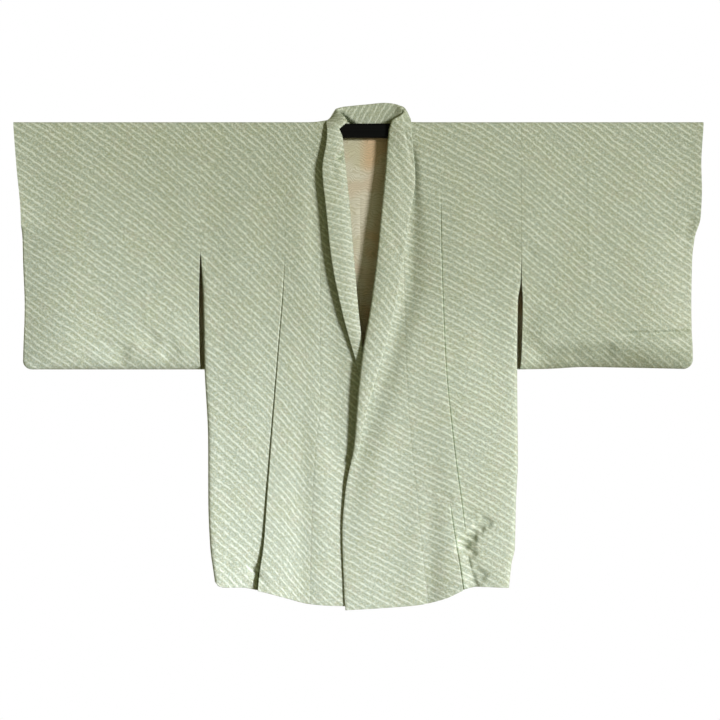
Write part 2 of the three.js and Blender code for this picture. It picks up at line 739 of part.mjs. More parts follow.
/** Points of a collar section: up the sewn leaf, round the roll and out along the free leaf. */
function collarSection({ seam, roll, leaf }, tangent) {
  const into = new THREE.Vector3().addVectors(seam, leaf).multiplyScalar(0.5).sub(roll);
  into.addScaledVector(tangent, -into.dot(tangent)).normalize();
  const out = new THREE.Vector3().crossVectors(tangent, into).normalize();
  const centre = roll.clone().addScaledVector(into, COLLAR_ROLL + COLLAR_CLOTH / 2);
  const onRoll = (angle) =>
    centre
      .clone()
      .addScaledVector(into, -COLLAR_ROLL * Math.cos(angle))
      .addScaledVector(out, COLLAR_ROLL * Math.sin(angle));
  const bend = spread(-Math.PI / 2, Math.PI / 2, 5).map(onRoll);
  const leafLine = (from, to, bulge) =>
    [1 / 3, 2 / 3, 1].map((t) =>
      from.clone().lerp(to, t).addScaledVector(out, bulge * Math.sin(Math.PI * t)),
    );
  const width = bend[4].distanceTo(leaf);
  const sewnLeaf = leafLine(bend[0], seam, 0).reverse();
  const freeLeaf = leafLine(bend[4], leaf, Math.min(2, width * 0.05));
  return [...sewnLeaf, ...bend, ...freeLeaf];
}

/** Stations of the collar on one front, from its top down, level with the rows of the panels. */
function collarFront(half) {
  const front = frontForm(half);
  const edge = curve(half.frontEdge, "drop", "across");
  const roll = curve(half.collar, "drop", "roll");
  const leaf = curve(half.collar, "drop", "leaf");
  const stand = curve(half.collar, "drop", "stand");
  return FRONT_DROPS.filter((drop) => drop <= COLLAR_END).map((drop) => {
    const sewn = edge(drop) - SEAM / 2;
    const surface = front(edge(drop), drop);
    return {
      seam: point(half, sewn, surface + CLOTH - COLLAR_CLOTH / 2, drop),
      roll: point(half, roll(drop), surface + CLOTH - COLLAR_CLOTH / 2 - COLLAR_ROLL, drop),
      leaf: point(half, leaf(drop), front(leaf(drop), drop) - stand(drop), drop),
    };
  });
}

/** The collar: one folded band from the left front, round the neck, to the right front. */
function collar() {
  const vector = (p) => new THREE.Vector3(...p);
  const neck = NECK.map((row) => ({
    seam: vector(row.seam),
    roll: vector(row.roll),
    leaf: vector(row.leaf),
  }));
  const stations = [...collarFront(RIGHT).reverse(), ...[...neck].reverse(), ...collarFront(LEFT)];
  const grid = stations.map((station, i) => {
    const next = stations[Math.min(stations.length - 1, i + 1)].roll;
    const last = stations[Math.max(0, i - 1)].roll;
    return collarSection(station, new THREE.Vector3().subVectors(next, last).normalize());
  });
  return wall(grid, COLLAR_CLOTH / 2, COLLAR_CLOTH / 2);
}

/** The bar that carries the coat: a flat bar with rounded edges. */
function hangingBar() {
  const { length, height, depth, corner } = BAR;
  const [h, w] = [height / 2, depth / 2];
  const outline = new THREE.Shape();
  outline.moveTo(-w + corner, -h);
  outline.lineTo(w - corner, -h);
  outline.absarc(w - corner, -h + corner, corner, -Math.PI / 2, 0);
  outline.lineTo(w, h - corner);
  outline.absarc(w - corner, h - corner, corner, 0, Math.PI / 2);
  outline.lineTo(-w + corner, h);
  outline.absarc(-w + corner, h - corner, corner, Math.PI / 2, Math.PI);
  outline.lineTo(-w, -h + corner);
  outline.absarc(-w + corner, -h + corner, corner, Math.PI, 1.5 * Math.PI);
  const bar = new THREE.ExtrudeGeometry(outline, {
    depth: length,
    bevelEnabled: false,
    curveSegments: 4,
  });
  bar.translate(0, 0, -length / 2);
  bar.rotateX(Math.PI / 2);
  bar.rotateZ(Math.PI / 2);
  return bar;
}

// ---------- Assembly ----------
const coat = new THREE.Group();

function add(name, geometry, material) {
  const mesh = new THREE.Mesh(geometry, new THREE.MeshStandardMaterial(MATERIALS[material]));
  mesh.name = name;
  coat.add(mesh);
}

add("hanging_bar", hangingBar(), "bar");
for (const [half, name] of [[LEFT, "left"], [RIGHT, "right"]]) {
  add(`body_${name}`, bodyPanel(half), "silk");
  add(`overlap_${name}`, overlapPanel(half), "silk");
  add(`sleeve_${name}`, sleeve(half), "silk");
  add(`lining_${name}`, backLining(half), "lining");
}
add("collar", collar(), "silk");

export default coat;
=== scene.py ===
"""Kimono coat with a shawl collar on a straight bar: its cloth, finishes, light and camera.

Lengths are millimetres until a mesh is made. "drop" is a distance down from the shoulder line, and
"across" a distance from the centre line towards one sleeve. The origin is the bar's middle, +X is
the wearer's left and the front faces -Y.
"""

from __future__ import annotations

import logging
import math
from collections.abc import Callable, Iterable, Sequence
from dataclasses import dataclass, field
from enum import Enum
from functools import partial

import bpy
import numpy as np
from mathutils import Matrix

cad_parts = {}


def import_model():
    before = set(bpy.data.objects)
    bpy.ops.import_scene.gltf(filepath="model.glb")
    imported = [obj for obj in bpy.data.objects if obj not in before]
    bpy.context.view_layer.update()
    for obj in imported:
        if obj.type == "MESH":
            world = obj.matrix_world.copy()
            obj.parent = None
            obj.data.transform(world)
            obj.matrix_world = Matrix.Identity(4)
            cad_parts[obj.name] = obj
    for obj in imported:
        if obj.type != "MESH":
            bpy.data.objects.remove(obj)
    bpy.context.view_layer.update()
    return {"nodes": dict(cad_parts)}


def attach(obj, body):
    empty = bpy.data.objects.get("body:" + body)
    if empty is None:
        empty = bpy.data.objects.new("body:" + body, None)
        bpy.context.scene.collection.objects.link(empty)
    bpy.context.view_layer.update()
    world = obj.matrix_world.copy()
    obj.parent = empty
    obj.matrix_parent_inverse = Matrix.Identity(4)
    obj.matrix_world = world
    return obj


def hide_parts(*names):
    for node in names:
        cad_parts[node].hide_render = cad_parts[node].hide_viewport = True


LOG = logging.getLogger("kimono_coat")
Array = np.ndarray
Read = Callable[[Array], Array]

MM = 0.001
BAR_HEIGHT = 27.0
CLOTH = 2.0  # lined silk
COLLAR_CLOTH = 2.4  # lined and interlined silk
LINING = 1.0  # thin silk
SEAM = 0.3  # between two pieces
BAR_CLEARANCE = 0.4
SHOULDER_Z = BAR_HEIGHT / 2 + BAR_CLEARANCE + CLOTH
SHOULDER_ROUND = 6.0  # radius of the cloth over the edges of the bar
BODY_LENGTH = 885.0
SLEEVE_LENGTH = 472.0
ARMHOLE = 244.0  # the sleeve is sewn on down to here
SIDE_OPENING = 130.0  # below the armhole, the side takes this long to open fully
SIDE_ROUND = 26.0  # width of the turn at the side
SIDE_FULL = 8.0  # over 2, the side stays full nearly to its pressed fold
SIDE_SEAM_Y = -3.0
HEM_CORNER = 12.0  # radius of the corner of the back
NECKLINE_DROP = 8.0
NECKLINE_DIP = 1.2
COLLAR_ROLL = 3.0  # largest radius of the roll
SEWN_COLUMNS = 14  # of the collar's sewn part, from its seam to the roll
ROLL_COLUMNS = 9
ROLL_MIDDLE = SEWN_COLUMNS + ROLL_COLUMNS // 2
COLLAR_START = 14.0
COLLAR_END = 648.0
LEVEL_ABOVE = 700.0  # rows of the front are level above it and bend to the hem below it
CREASE_TAPER = 0.3  # share of the length of a crease in which it fades in or out


class Slot(Enum):
    """The finishes that the part is made in."""

    SILK = "silk"
    LINING = "lining"


# ---------------------------------------------------------------- curves and tables


def ease(t: Array | float) -> Array:
    """Return a smooth step from 0 to 1 as t goes from 0 to 1."""
    t = np.clip(t, 0.0, 1.0)
    return t * t * (3.0 - 2.0 * t)


def bump(t: Array | float) -> Array:
    """Return a soft hump, 1 at t = 0 and almost 0 past t = 2."""
    return np.exp(-np.square(t))


def mix(a: Array | float, b: Array | float, t: Array | float) -> Array:
    """Return the value that is a share t of the way from a to b."""
    return a + (b - a) * t


@dataclass(frozen=True)
class Table:
    """Rows of named columns, read as smooth curves that never overshoot.

    Attributes:
        columns: the columns' names, in one string.
        rows: the values, one row for each station.
    """

    columns: str
    rows: tuple[tuple[float, ...], ...]

    def curve(self, source: str, target: str) -> Read:
        """Return one column as a function of another.

        Args:
            source: the column that is looked up, rising from row to row.
            target: the column that is read.

        Returns:
            A function from an array of source values to an array of target values.
        """
        names = self.columns.split()
        x, y = np.array(self.rows, float)[:, [names.index(source), names.index(target)]].T
        rise = np.diff(y) / np.diff(x)
        product = rise[:-1] * rise[1:]
        total = rise[:-1] + rise[1:]
        inner = np.where(product > 0, 2 * product / np.where(total == 0, 1, total), 0.0)
        slope = np.concatenate([rise[:1], inner, rise[-1:]])

        def read(value: Array) -> Array:
            """Return the target column at these source values.

            Args:
                value: the source values.

            Returns:
                The target values, in the same shape.
            """
            v = np.clip(np.asarray(value, float), x[0], x[-1])
            i = np.clip(np.searchsorted(x, v, side="right") - 1, 0, len(x) - 2)
            step = x[i + 1] - x[i]
            t = (v - x[i]) / step
            bend = slope[i] * t * (1 - t) ** 2 - slope[i + 1] * t**2 * (1 - t)
            return mix(y[i], y[i + 1], ease(t)) + step * bend

        return read


@dataclass(frozen=True)
class Crease:
    """A soft trough (or, with a negative depth, a ridge) laid between two places.

    Attributes:
        start: across and drop where it begins.
        end: across and drop where it ends.
        depth: how deep it is.
        width: how far it reaches to each side.
        steep: the share of the width on one side, which makes that side's slope steeper.
    """

    start: tuple[float, float]
    end: tuple[float, float]
    depth: float
    width: float
    steep: float = 1.0

    def sink(self, across: Array, drop: Array) -> Array:
        """Return how far the cloth is pushed in at these places.

        Args:
            across: distance from the centre line.
            drop: distance down from the shoulder.

        Returns:
            The depth of the crease at each place.
        """
        run = np.subtract(self.end, self.start)
        length = float(np.hypot(*run))
        u = ((across - self.start[0]) * run[0] + (drop - self.start[1]) * run[1]) / length**2
        v = ((across - self.start[0]) * run[1] - (drop - self.start[1]) * run[0]) / length
        taper = ease(u / CREASE_TAPER) * ease((1.0 - u) / CREASE_TAPER)
        return self.depth * taper * bump(v / np.where(v > 0, self.width * self.steep, self.width))


@dataclass(frozen=True)
class StripeRun:
    """How the woven stripes run over one piece.

    Attributes:
        lean: the stripes' angle below the horizontal, in degrees, at the shoulder ("top") and at
            the hem ("low"), for stations along X.
        shift: how far the pattern is shifted where the piece was cut from the bolt.
        length: of the cloth from the shoulder to the hem.
        margin: how far the lean is followed past its outermost stations.
        steps: how finely it is summed up.
    """

    lean: Table
    shift: float = 0.0
    length: float = 900.0
    margin: float = 120.0
    steps: int = 200

    def cloth_uv(self, x: Array, s: Array) -> Array:
        """Return where each place lies on the woven pattern.

        Args:
            x: place across the piece, along X.
            s: place along the cloth from the shoulder, positive in front and negative behind.

        Returns:
            (distance along the stripes, distance across them) in the last axis.
        """
        lows = [row[0] for row in self.lean.rows]
        stations = np.linspace(min(lows) - self.margin, max(lows) + self.margin, self.steps)
        fall = []
        for column in ("top", "low"):
            slope = np.tan(np.radians(self.lean.curve("x", column)(stations)))
            summed = np.concatenate([[0], np.cumsum((slope[1:] + slope[:-1]) / 2)])
            summed = summed * (stations[1] - stations[0])
            fall.append(summed - np.interp(np.mean(lows), stations, summed))
        share = np.clip(np.abs(s) / self.length, 0, 1)
        dropped = mix(np.interp(x, stations, fall[0]), np.interp(x, stations, fall[1]), share)
        angle = math.radians(float(np.mean([row[1:] for row in self.lean.rows])))
        along = x * math.cos(angle) + s * math.sin(angle)
        phase = (s - dropped) * math.cos(angle) + self.shift
        return np.stack([along, phase], axis=-1)


# ---------------------------------------------------------------- the two halves


@dataclass(frozen=True)
class SleeveCut:
    """One sleeve's edges and folds.

    Attributes:
        outer: the edge at the wrist.
        inner: the edge at the body.
        bottom: the sewn lower edge.
        sway: how far it swings as it hangs, positive to the front.
        creases: its short creases.
        stripes: its woven stripes.
    """

    outer: Table
    inner: Table
    bottom: Table
    sway: Table
    creases: tuple[Crease, ...]
    stripes: StripeRun


@dataclass(frozen=True)
class Half:
    """One half of the coat, with every line measured towards its own sleeve.

    Attributes:
        name: which half it is.
        side: 1 for the wearer's left and -1 for the right.
        neck: where the neckline ends on the shoulder, across.
        first_overlap: drop where the overlap panel begins.
        outline: the edge at the side.
        panel_seam: the seam between the body panel and the overlap panel.
        front_edge: the edge under the collar, and below it the front's own.
        hem: the lower edge.
        tucks: the lines of the pressed tucks and their heights.
        tuck_step: width of the step at a tuck.
        tuck_over: the share of the height by which the upper cloth stands out.
        tuck_under: how far the lower cloth stays sunk beside a tuck.
        hollows: the long soft troughs, with a width towards the centre and one towards the sleeve.
        lift: how far the front edge stands out.
        lift_width: how far from the edge the lift begins to fade, and where it has faded.
        collar: the collar's roll, its free edge, and how far that stands off the front.
        creases: the short creases.
        drawn_up: how far the collar draws up the cloth beside the neck.
        body_stripes: the woven stripes of the body panel.
        overlap_stripes: those of the overlap panel.
        sleeve: the sleeve of this half.
    """

    name: str
    side: int
    neck: float
    first_overlap: float
    outline: Table
    panel_seam: Table
    front_edge: Table
    hem: Table
    tucks: tuple[Table, ...]
    tuck_step: float
    tuck_over: float
    tuck_under: float
    hollows: tuple[Table, ...]
    lift: Table
    lift_width: tuple[float, float]
    collar: Table
    creases: tuple[Crease, ...]
    drawn_up: float
    body_stripes: StripeRun
    overlap_stripes: StripeRun
    sleeve: SleeveCut

    def place(self, across: Array, y: Array, drop: Array) -> Array:
        """Return points of this half as an array with x, y, z in its last axis."""
        across, y, drop = np.broadcast_arrays(across, y, drop)
        return np.stack([self.side * across, y, SHOULDER_Z - drop], axis=-1)


DEPTH = Table(
    "drop front back",
    (
        (0, -10.4, 12), (30, -10.4, 12), (120, -12.6, 12.8), (244, -16, 14), (400, -22, 16.5),
        (600, -28, 19), (900, -33, 22),
    ),
)
FRONT_DEPTH = DEPTH.curve("drop", "front")
BACK_DEPTH = DEPTH.curve("drop", "back")

LEFT = Half(
    name="left",
    side=1,
    neck=84,
    first_overlap=115,
    outline=Table(
        "drop across",
        (
            (0, 307), (298, 307), (340, 301), (470, 299), (650, 300), (720, 296.5), (812, 294),
            (840, 288), (885, 283),
        ),
    ),
    panel_seam=Table(
        "drop across", ((84, 78), (226, 83), (446, 87.5), (572, 94), (740, 111.5), (920, 133))
    ),
    front_edge=Table(
        "drop across",
        (
            (14, 83), (84, 78), (178, 68.5), (252, 59), (366, 41.5), (440, 24.5), (520, 9.5),
            (585, -2), (630, -7), (COLLAR_END, -16), (665, -20.5), (700, -27), (766, -33),
            (855, -29.5), (927, -25),
        ),
    ),
    hem=Table(
        "across drop",
        ((-34, 927), (72, 921), (118, 916.5), (163, 904), (199, 888), (224, 883), (285, 885)),
    ),
    tucks=(
        Table(
            "drop across height",
            (
                (120, 152, 0), (270, 155, 2), (446, 161.5, 4), (610, 177, 5.5), (735, 193.5, 5),
                (780, 199, 0), (930, 220, 0),
            ),
        ),
        Table(
            "drop across height",
            (
                (120, 134, 0), (446, 144, 0), (724, 169.5, 0), (764, 175.5, 6), (865, 192, 10),
                (930, 201, 12),
            ),
        ),
    ),
    tuck_step=0.9,
    tuck_over=0.65,
    tuck_under=30,
    hollows=(
        Table(
            "drop across depth width outer",
            (
                (34, 99, 0, 14, 6),
                (60, 101, 4, 17, 6),
                (100, 103, 6, 20, 7),
                (150, 101.5, 6.5, 18, 11),
                (200, 99, 7, 17, 17),
                (300, 95, 7, 20, 20),
                (400, 72, 6.5, 22, 22),
                (528, 34, 6, 24, 24),
                (608, 8, 5, 24, 24),
                (700, -14, 3, 24, 24),
                (800, -26, 0, 24, 24),
            ),
        ),
        Table(
            "drop across depth width outer",
            ((600, 140, 0, 18, 18), (760, 136, 3, 20, 20), (930, 130, 5, 22, 22)),
        ),
    ),
    lift=Table(
        "drop out",
        (
            (0, 0), (300, 0), (366, 5), (430, 9), (470, 10.5), (560, 10), (634, 8.5), (720, 4.6),
            (815, 2.8), (930, 2.4),
        ),
    ),
    lift_width=(14, 165),
    collar=Table(
        "drop roll leaf stand",
        (
            (14, 55, 97, 5),
            (44, 52, 99.5, 4.4),
            (104, 47.5, 104.5, 4),
            (184, 39.5, 94, 4.4),
            (252, 33, 83, 4.6),
            (366, 18, 63.5, 5),
            (440, 5, 43.5, 5),
            (520, -4, 20, 5),
            (585, -9, 4, 5),
            (630, -14, -4, 4),
            (COLLAR_END, -18.5, -12, 3),
        ),
    ),
    creases=(
        Crease((240, 749), (188, 806), 2.4, 34, 0.3),
        Crease((225, 751), (254, 764), 4.4, 14, 0.28),
        Crease((212, 763), (240, 776), 5.2, 14, 0.28),
        Crease((202, 774), (226, 786), 4.4, 14, 0.28),
        Crease((192, 784), (226, 797), 5.4, 14, 0.28),
        Crease((182, 791), (214, 806), 6.4, 14, 0.3),
        Crease((182, 801), (226, 822), 7.0, 14, 0.32),
        Crease((203, 820), (213, 860), 2.4, 8, 0.3),
        Crease((208, 848), (224, 894), 4.4, 14, 0.35),
        Crease((212, 846), (242, 868), 4.4, 16, 0.5),
        Crease((146, 704), (178, 722), 2.4, 7, 0.6),
        Crease((268, 214), (307, 243), 2.0, 6),
        Crease((276, 322), (307, 292), 2.4, 6),
    ),
    drawn_up=0.6,
    body_stripes=StripeRun(
        Table("x top low", ((80, 29, 26), (130, 26, 25), (200, 29, 28), (310, 37, 34))), 7
    ),
    overlap_stripes=StripeRun(
        Table("x top low", ((-40, 34, 30), (50, 31, 29), (130, 27, 26))), 21
    ),
    sleeve=SleeveCut(
        outer=Table(
            "drop across",
            (
                (0, 655), (82, 650.5), (127, 651.5), (180, 649), (218, 640), (264, 634.5),
                (400, 632.5), (472, 637),
            ),
        ),
        inner=Table("drop across", ((0, 307), (298, 307.5), (340, 309.5), (472, 306))),
        bottom=Table(
            "across drop", ((300, 472), (360, 471), (430, 467.5), (500, 468.5), (660, 472))
        ),
        sway=Table("drop out", ((0, 0), (330, 0), (400, 6), (414, 6.5), (472, -13))),
        creases=(
            Crease((437, 6), (437, 396), -0.7, 2.2),
            Crease((470, 404), (650, 398), 5.5, 12, 0.15),
            Crease((318, 440), (400, 446), 3.5, 12),
            Crease((374, 450), (500, 436), 6.0, 14),
            Crease((296, 484), (590, 479), 8.5, 46),
            Crease((440, 440), (486, 428), 2.5, 7),
            Crease((404, 462), (452, 452), 2.0, 6),
            Crease((560, 440), (612, 452), 1.6, 9),
            Crease((312, 236), (336, 262), 1.6, 7),
            Crease((632, 168), (618, 236), 1.6, 9),
        ),
        stripes=StripeRun(Table("x top low", ((310, 41, 40), (440, 39, 38), (650, 35, 35))), 33),
    ),
)

RIGHT = Half(
    name="right",
    side=-1,
    neck=55,
    first_overlap=80,
    outline=Table(
        "drop across",
        (
            (0, 304), (246, 303.5), (262, 302.2), (340, 299), (467, 296), (606, 289),
            (720, 288.5), (812, 285), (885, 276),
        ),
    ),
    panel_seam=Table(
        "drop across",
        ((70, 54.5), (184, 73), (346, 76), (528, 75), (629, 85), (740, 91), (920, 97)),
    ),
    front_edge=Table(
        "drop across",
        (
            (14, 55), (84, 51.5), (165, 42), (262, 32), (366, 17.5), (416, 8), (460, -2.5),
            (520, -14), (585, -28), (COLLAR_END, -42), (665, -50), (720, -55), (921, -57),
        ),
    ),
    hem=Table(
        "across drop",
        (
            (-57, 921), (49, 919), (96, 915.5), (141, 904), (186, 892), (228, 885), (258, 885),
            (268, 882), (276, 873),
        ),
    ),
    tucks=(
        Table(
            "drop across height",
            (
                (120, 138, 0), (256, 142.5, 0.2), (340, 147, 0.8), (433, 154.5, 1.5),
                (565, 165, 2.8), (695, 175, 4.2), (804, 183, 6.5), (868, 192, 10.5),
                (930, 197, 11.5),
            ),
        ),
    ),
    tuck_step=1.8,
    tuck_over=0.3,
    tuck_under=55,
    hollows=(
        Table(
            "drop across depth width outer",
            (
                (44, 86, 0, 14, 14),
                (110, 88, 2.5, 16, 16),
                (240, 80, 3.5, 20, 20),
                (420, 50, 2.2, 26, 26),
                (600, 40, 1.2, 28, 28),
                (930, 40, 1.2, 30, 30),
            ),
        ),
        Table(
            "drop across depth width outer",
            (
                (400, 104, 0, 20, 20),
                (600, 108, 2, 22, 22),
                (780, 108, 2.4, 24, 24),
                (930, 112, 2, 26, 26),
            ),
        ),
    ),
    lift=Table(
        "drop out",
        ((0, 0), (340, 0), (460, -3), (640, -4), (720, -3), (815, -1.6), (930, -1.4)),
    ),
    lift_width=(70, 130),
    collar=Table(
        "drop roll leaf stand",
        (
            (14, 39.5, 62, 8),
            (30, 33, 62.5, 9.5),
            (44, 31.5, 64, 11),
            (91, 26.5, 71, 12),
            (165, 19, 64, 12.5),
            (262, 11, 53.5, 12.5),
            (366, 2, 32.5, 11),
            (416, -4, 19, 7),
            (460, -11.5, 6, 5),
            (520, -22, -9, 4),
            (585, -36, -25, 3),
            (COLLAR_END, -49.5, -42, 2.5),
        ),
    ),
    creases=(
        Crease((190, 872), (212, 838), 3.5, 8),
        Crease((176, 884), (196, 852), 2.0, 6),
        Crease((238, 832), (270, 858), 1.6, 9),
        Crease((250, 250), (300, 268), 1.5, 9),
        Crease((228, 282), (298, 300), -1.2, 10),
    ),
    drawn_up=4.5,
    body_stripes=StripeRun(
        Table("x top low", ((-304, 40, 40), (-240, 42, 43), (-150, 45, 49), (-75, 46, 54))), 12
    ),
    overlap_stripes=StripeRun(Table("x top low", ((-95, 42, 40), (55, 40, 34))), 3),
    sleeve=SleeveCut(
        outer=Table(
            "drop across",
            ((0, 661), (82, 655), (173, 646.5), (264, 644), (355, 640.5), (472, 644)),
        ),
        inner=Table("drop across", ((0, 304), (246, 304), (262, 305), (340, 306.5), (472, 304.5))),
        bottom=Table("across drop", ((300, 472), (660, 472))),
        sway=Table("drop out", ((0, 0), (300, 1), (400, 3), (472, 0))),
        creases=(
            Crease((405, 220), (405, 470), -0.8, 2.2),
            Crease((458, 468), (446, 418), 4.6, 34, 0.4),
            Crease((410, 436), (382, 402), 3.6, 30, 0.4),
            Crease((378, 456), (340, 426), 3.4, 28, 0.4),
            Crease((330, 440), (398, 462), 1.5, 10),
            Crease((500, 448), (596, 456), 1.3, 10),
        ),
        stripes=StripeRun(
            Table("x top low", ((-661, 34, 34), (-450, 36, 36), (-384, 39, 39), (-304, 41, 41))), 0
        ),
    ),
)

# The collar round the neck, from the wearer's left shoulder over the back to the right one: its
# sewn edge, its roll and its free edge.
NECK = Table(
    "seam_x seam_y seam_z roll_x roll_y roll_z leaf_x leaf_y leaf_z",
    (
        (82.3, -9.6, 11, 60, -17, 17, 97, -14, 13),
        (82.2, -6, 16.3, 75, -10.5, 27, 96, -6, 20),
        (82, 4, 17.5, 84, 0, 38, 96, 4, 22),
        (79.5, 9.5, 13.5, 83, 7.5, 46, 96, 17, 14),
        (70, 11.3, 9.6, 73, 12.5, 51.5, 86, 23, 8),
        (50, 11.4, 9, 52, 15, 55.5, 62, 26, 5),
        (15, 11.4, 8.5, 15, 16, 53, 16, 27, 3),
        (-18, 11.4, 8.6, -19, 15, 49.5, -22, 26, 4),
        (-40, 11.3, 9.2, -35, 12, 47, -47, 23, 8),
        (-50, 9.5, 13.5, -43, 5, 42.5, -59, 17, 14),
        (-53, 4, 17.5, -41, -2, 37.5, -61, 4, 19),
        (-53.2, -6, 16.3, -33, -9, 29.5, -61.5, -6, 19),
        (-53.3, -9.6, 11, -24, -16, 15, -64, -14, 13),
    ),
)

BACK_FOLDS = Table(
    "across height width start",
    ((52, 2.5, 30, 200), (118, -3.5, 34, 120), (186, 3.5, 36, 260), (246, -2.5, 26, 300)),
)


# ---------------------------------------------------------------- the hanging form


@dataclass(frozen=True)
class Tuck:
    """A pressed tuck: the cloth nearer the centre lies over the cloth nearer the sleeve.

    Attributes:
        line: its place across, by the drop.
        height: of its step, by the drop.
        step: width of the step.
        over_share: the share of the height by which the upper cloth stands out.
        under_width: how far the lower cloth stays sunk.
        over_width: how far the upper cloth stays raised.
        groove: depth of the dark groove under the upper cloth's edge, as a share of the height.
        least_groove: the height that the groove is reckoned from where the tuck is low.
    """

    line: Read
    height: Read
    step: float
    over_share: float
    under_width: float
    over_width: float = 70.0
    groove: float = 0.45
    least_groove: float = 3.2

    def rise(self, across: Array, drop: Array) -> Array:
        """Return how far the cloth stands out at these places.

        Args:
            across: distance from the centre line.
            drop: distance down from the shoulder.

        Returns:
            The height over the cloth without the tuck.
        """
        start = across - self.line(drop)
        past = ease(0.5 + start / self.step)
        over = (1 - past) * bump(np.minimum(0, start) / self.over_width)
        under = past * bump(np.maximum(0, start) / self.under_width)
        height = self.height(drop)
        sunk = np.maximum(height, self.least_groove * ease(height))
        dent = self.groove * sunk * bump((start - self.step * 0.7) / 0.9)
        return height * (self.over_share * over - (1 - self.over_share) * under) - dent


@dataclass(frozen=True)
class FrontForm:
    """The outer face of one front: its depth at any place.

    Attributes:
        half: the half of the coat.
    """

    half: Half

    def tucks(self) -> list[Tuck]:
        """Make this half's tucks ready to read.

        Returns:
            The tucks, from the centre outwards.
        """
        shape = (self.half.tuck_step, self.half.tuck_over, self.half.tuck_under)
        tables = self.half.tucks
        return [Tuck(t.curve("drop", "across"), t.curve("drop", "height"), *shape) for t in tables]

    def depth(self, across: Array, drop: Array) -> Array:
        """Return y of the outer face.

        Args:
            across: distance from the centre line.
            drop: distance down from the shoulder.

        Returns:
            y at each place, in the outer face of the cloth.
        """
        half = self.half
        full, end = half.lift_width
        edge = half.front_edge.curve("drop", "across")(drop)
        lifted = 1 - ease((across - edge - full) / (end - full))
        y = FRONT_DEPTH(drop) - half.lift.curve("drop", "out")(drop) * lifted
        for tuck in self.tucks():
            y = y - tuck.rise(across, drop)
        for hollow in half.hollows:
            line, depth, width, outer = (
                hollow.curve("drop", name)(drop) for name in ("across", "depth", "width", "outer")
            )
            y = y + depth * bump((across - line) / np.where(across > line, outer, width))
        return y + self.relief(across, drop)

    def relief(self, across: Array, drop: Array) -> Array:
        """Return the creases and the slight unevenness of hanging silk.

        Args:
            across: distance from the centre line.
            drop: distance down from the shoulder.

        Returns:
            How far the cloth is pushed in at each place.
        """
        sunk = sum(c.sink(across, drop) for c in self.half.creases)
        below = ease((drop - 40) / 160) * ease((300 - across) / 50)
        waves = 0.5 * np.sin(across / 21 + drop / 260 + self.half.side)
        waves = waves + 0.35 * np.sin(drop / 47 - across / 70 + 2 * self.half.side)
        return sunk + below * waves


def back_depth(across: Array, drop: Array) -> Array:
    """Return y of the back's outer face, with soft folds that grow towards the hem.

    Args:
        across: distance from the centre line.
        drop: distance down from the shoulder.

    Returns:
        y at each place, in the outer face of the cloth.
    """
    y = BACK_DEPTH(drop)
    for place, height, width, start in BACK_FOLDS.rows:
        y = y + ease((drop - start) / 500) * height * bump((across - place) / width)
    below = ease((drop - 60) / 160)
    return y + below * 0.4 * np.sin(drop / 61 + across / 44)


@dataclass(frozen=True)
class ShoulderPath:
    """The line of the cloth over the bar, from front to back.

    Attributes:
        y: depth of each point.
        drop: drop of each point.
        run: distance along the cloth from the top's middle, positive in front.
    """

    y: Array
    drop: Array
    run: Array

    @classmethod
    def over_bar(cls, turns: int = 7) -> "ShoulderPath":
        """Work out the path.

        Args:
            turns: how many points lie on each round corner.

        Returns:
            The path over the bar.
        """
        front, back = float(FRONT_DEPTH(0)), float(BACK_DEPTH(0))
        corner = np.linspace(-math.pi / 2, 0, turns)
        top = np.linspace(front + SHOULDER_ROUND, back - SHOULDER_ROUND, 5)[1:-1]
        y = np.concatenate(
            [
                front + SHOULDER_ROUND + SHOULDER_ROUND * np.sin(corner),
                top,
                back - SHOULDER_ROUND - SHOULDER_ROUND * np.sin(corner[::-1]),
            ]
        )
        fall = SHOULDER_ROUND * (1 - np.cos(corner))
        drop = np.concatenate([fall, np.zeros(len(top)), fall[::-1]])
        run = np.concatenate([[0], np.cumsum(np.hypot(np.diff(y), np.diff(drop)))])
        return cls(y, drop, run[-1] / 2 - run)

    def below(self, drop: Array) -> Array:
        """Return the distance along the cloth from the top's middle to a drop on the front."""
        return drop - SHOULDER_ROUND + self.run[0]


# ---------------------------------------------------------------- meshes


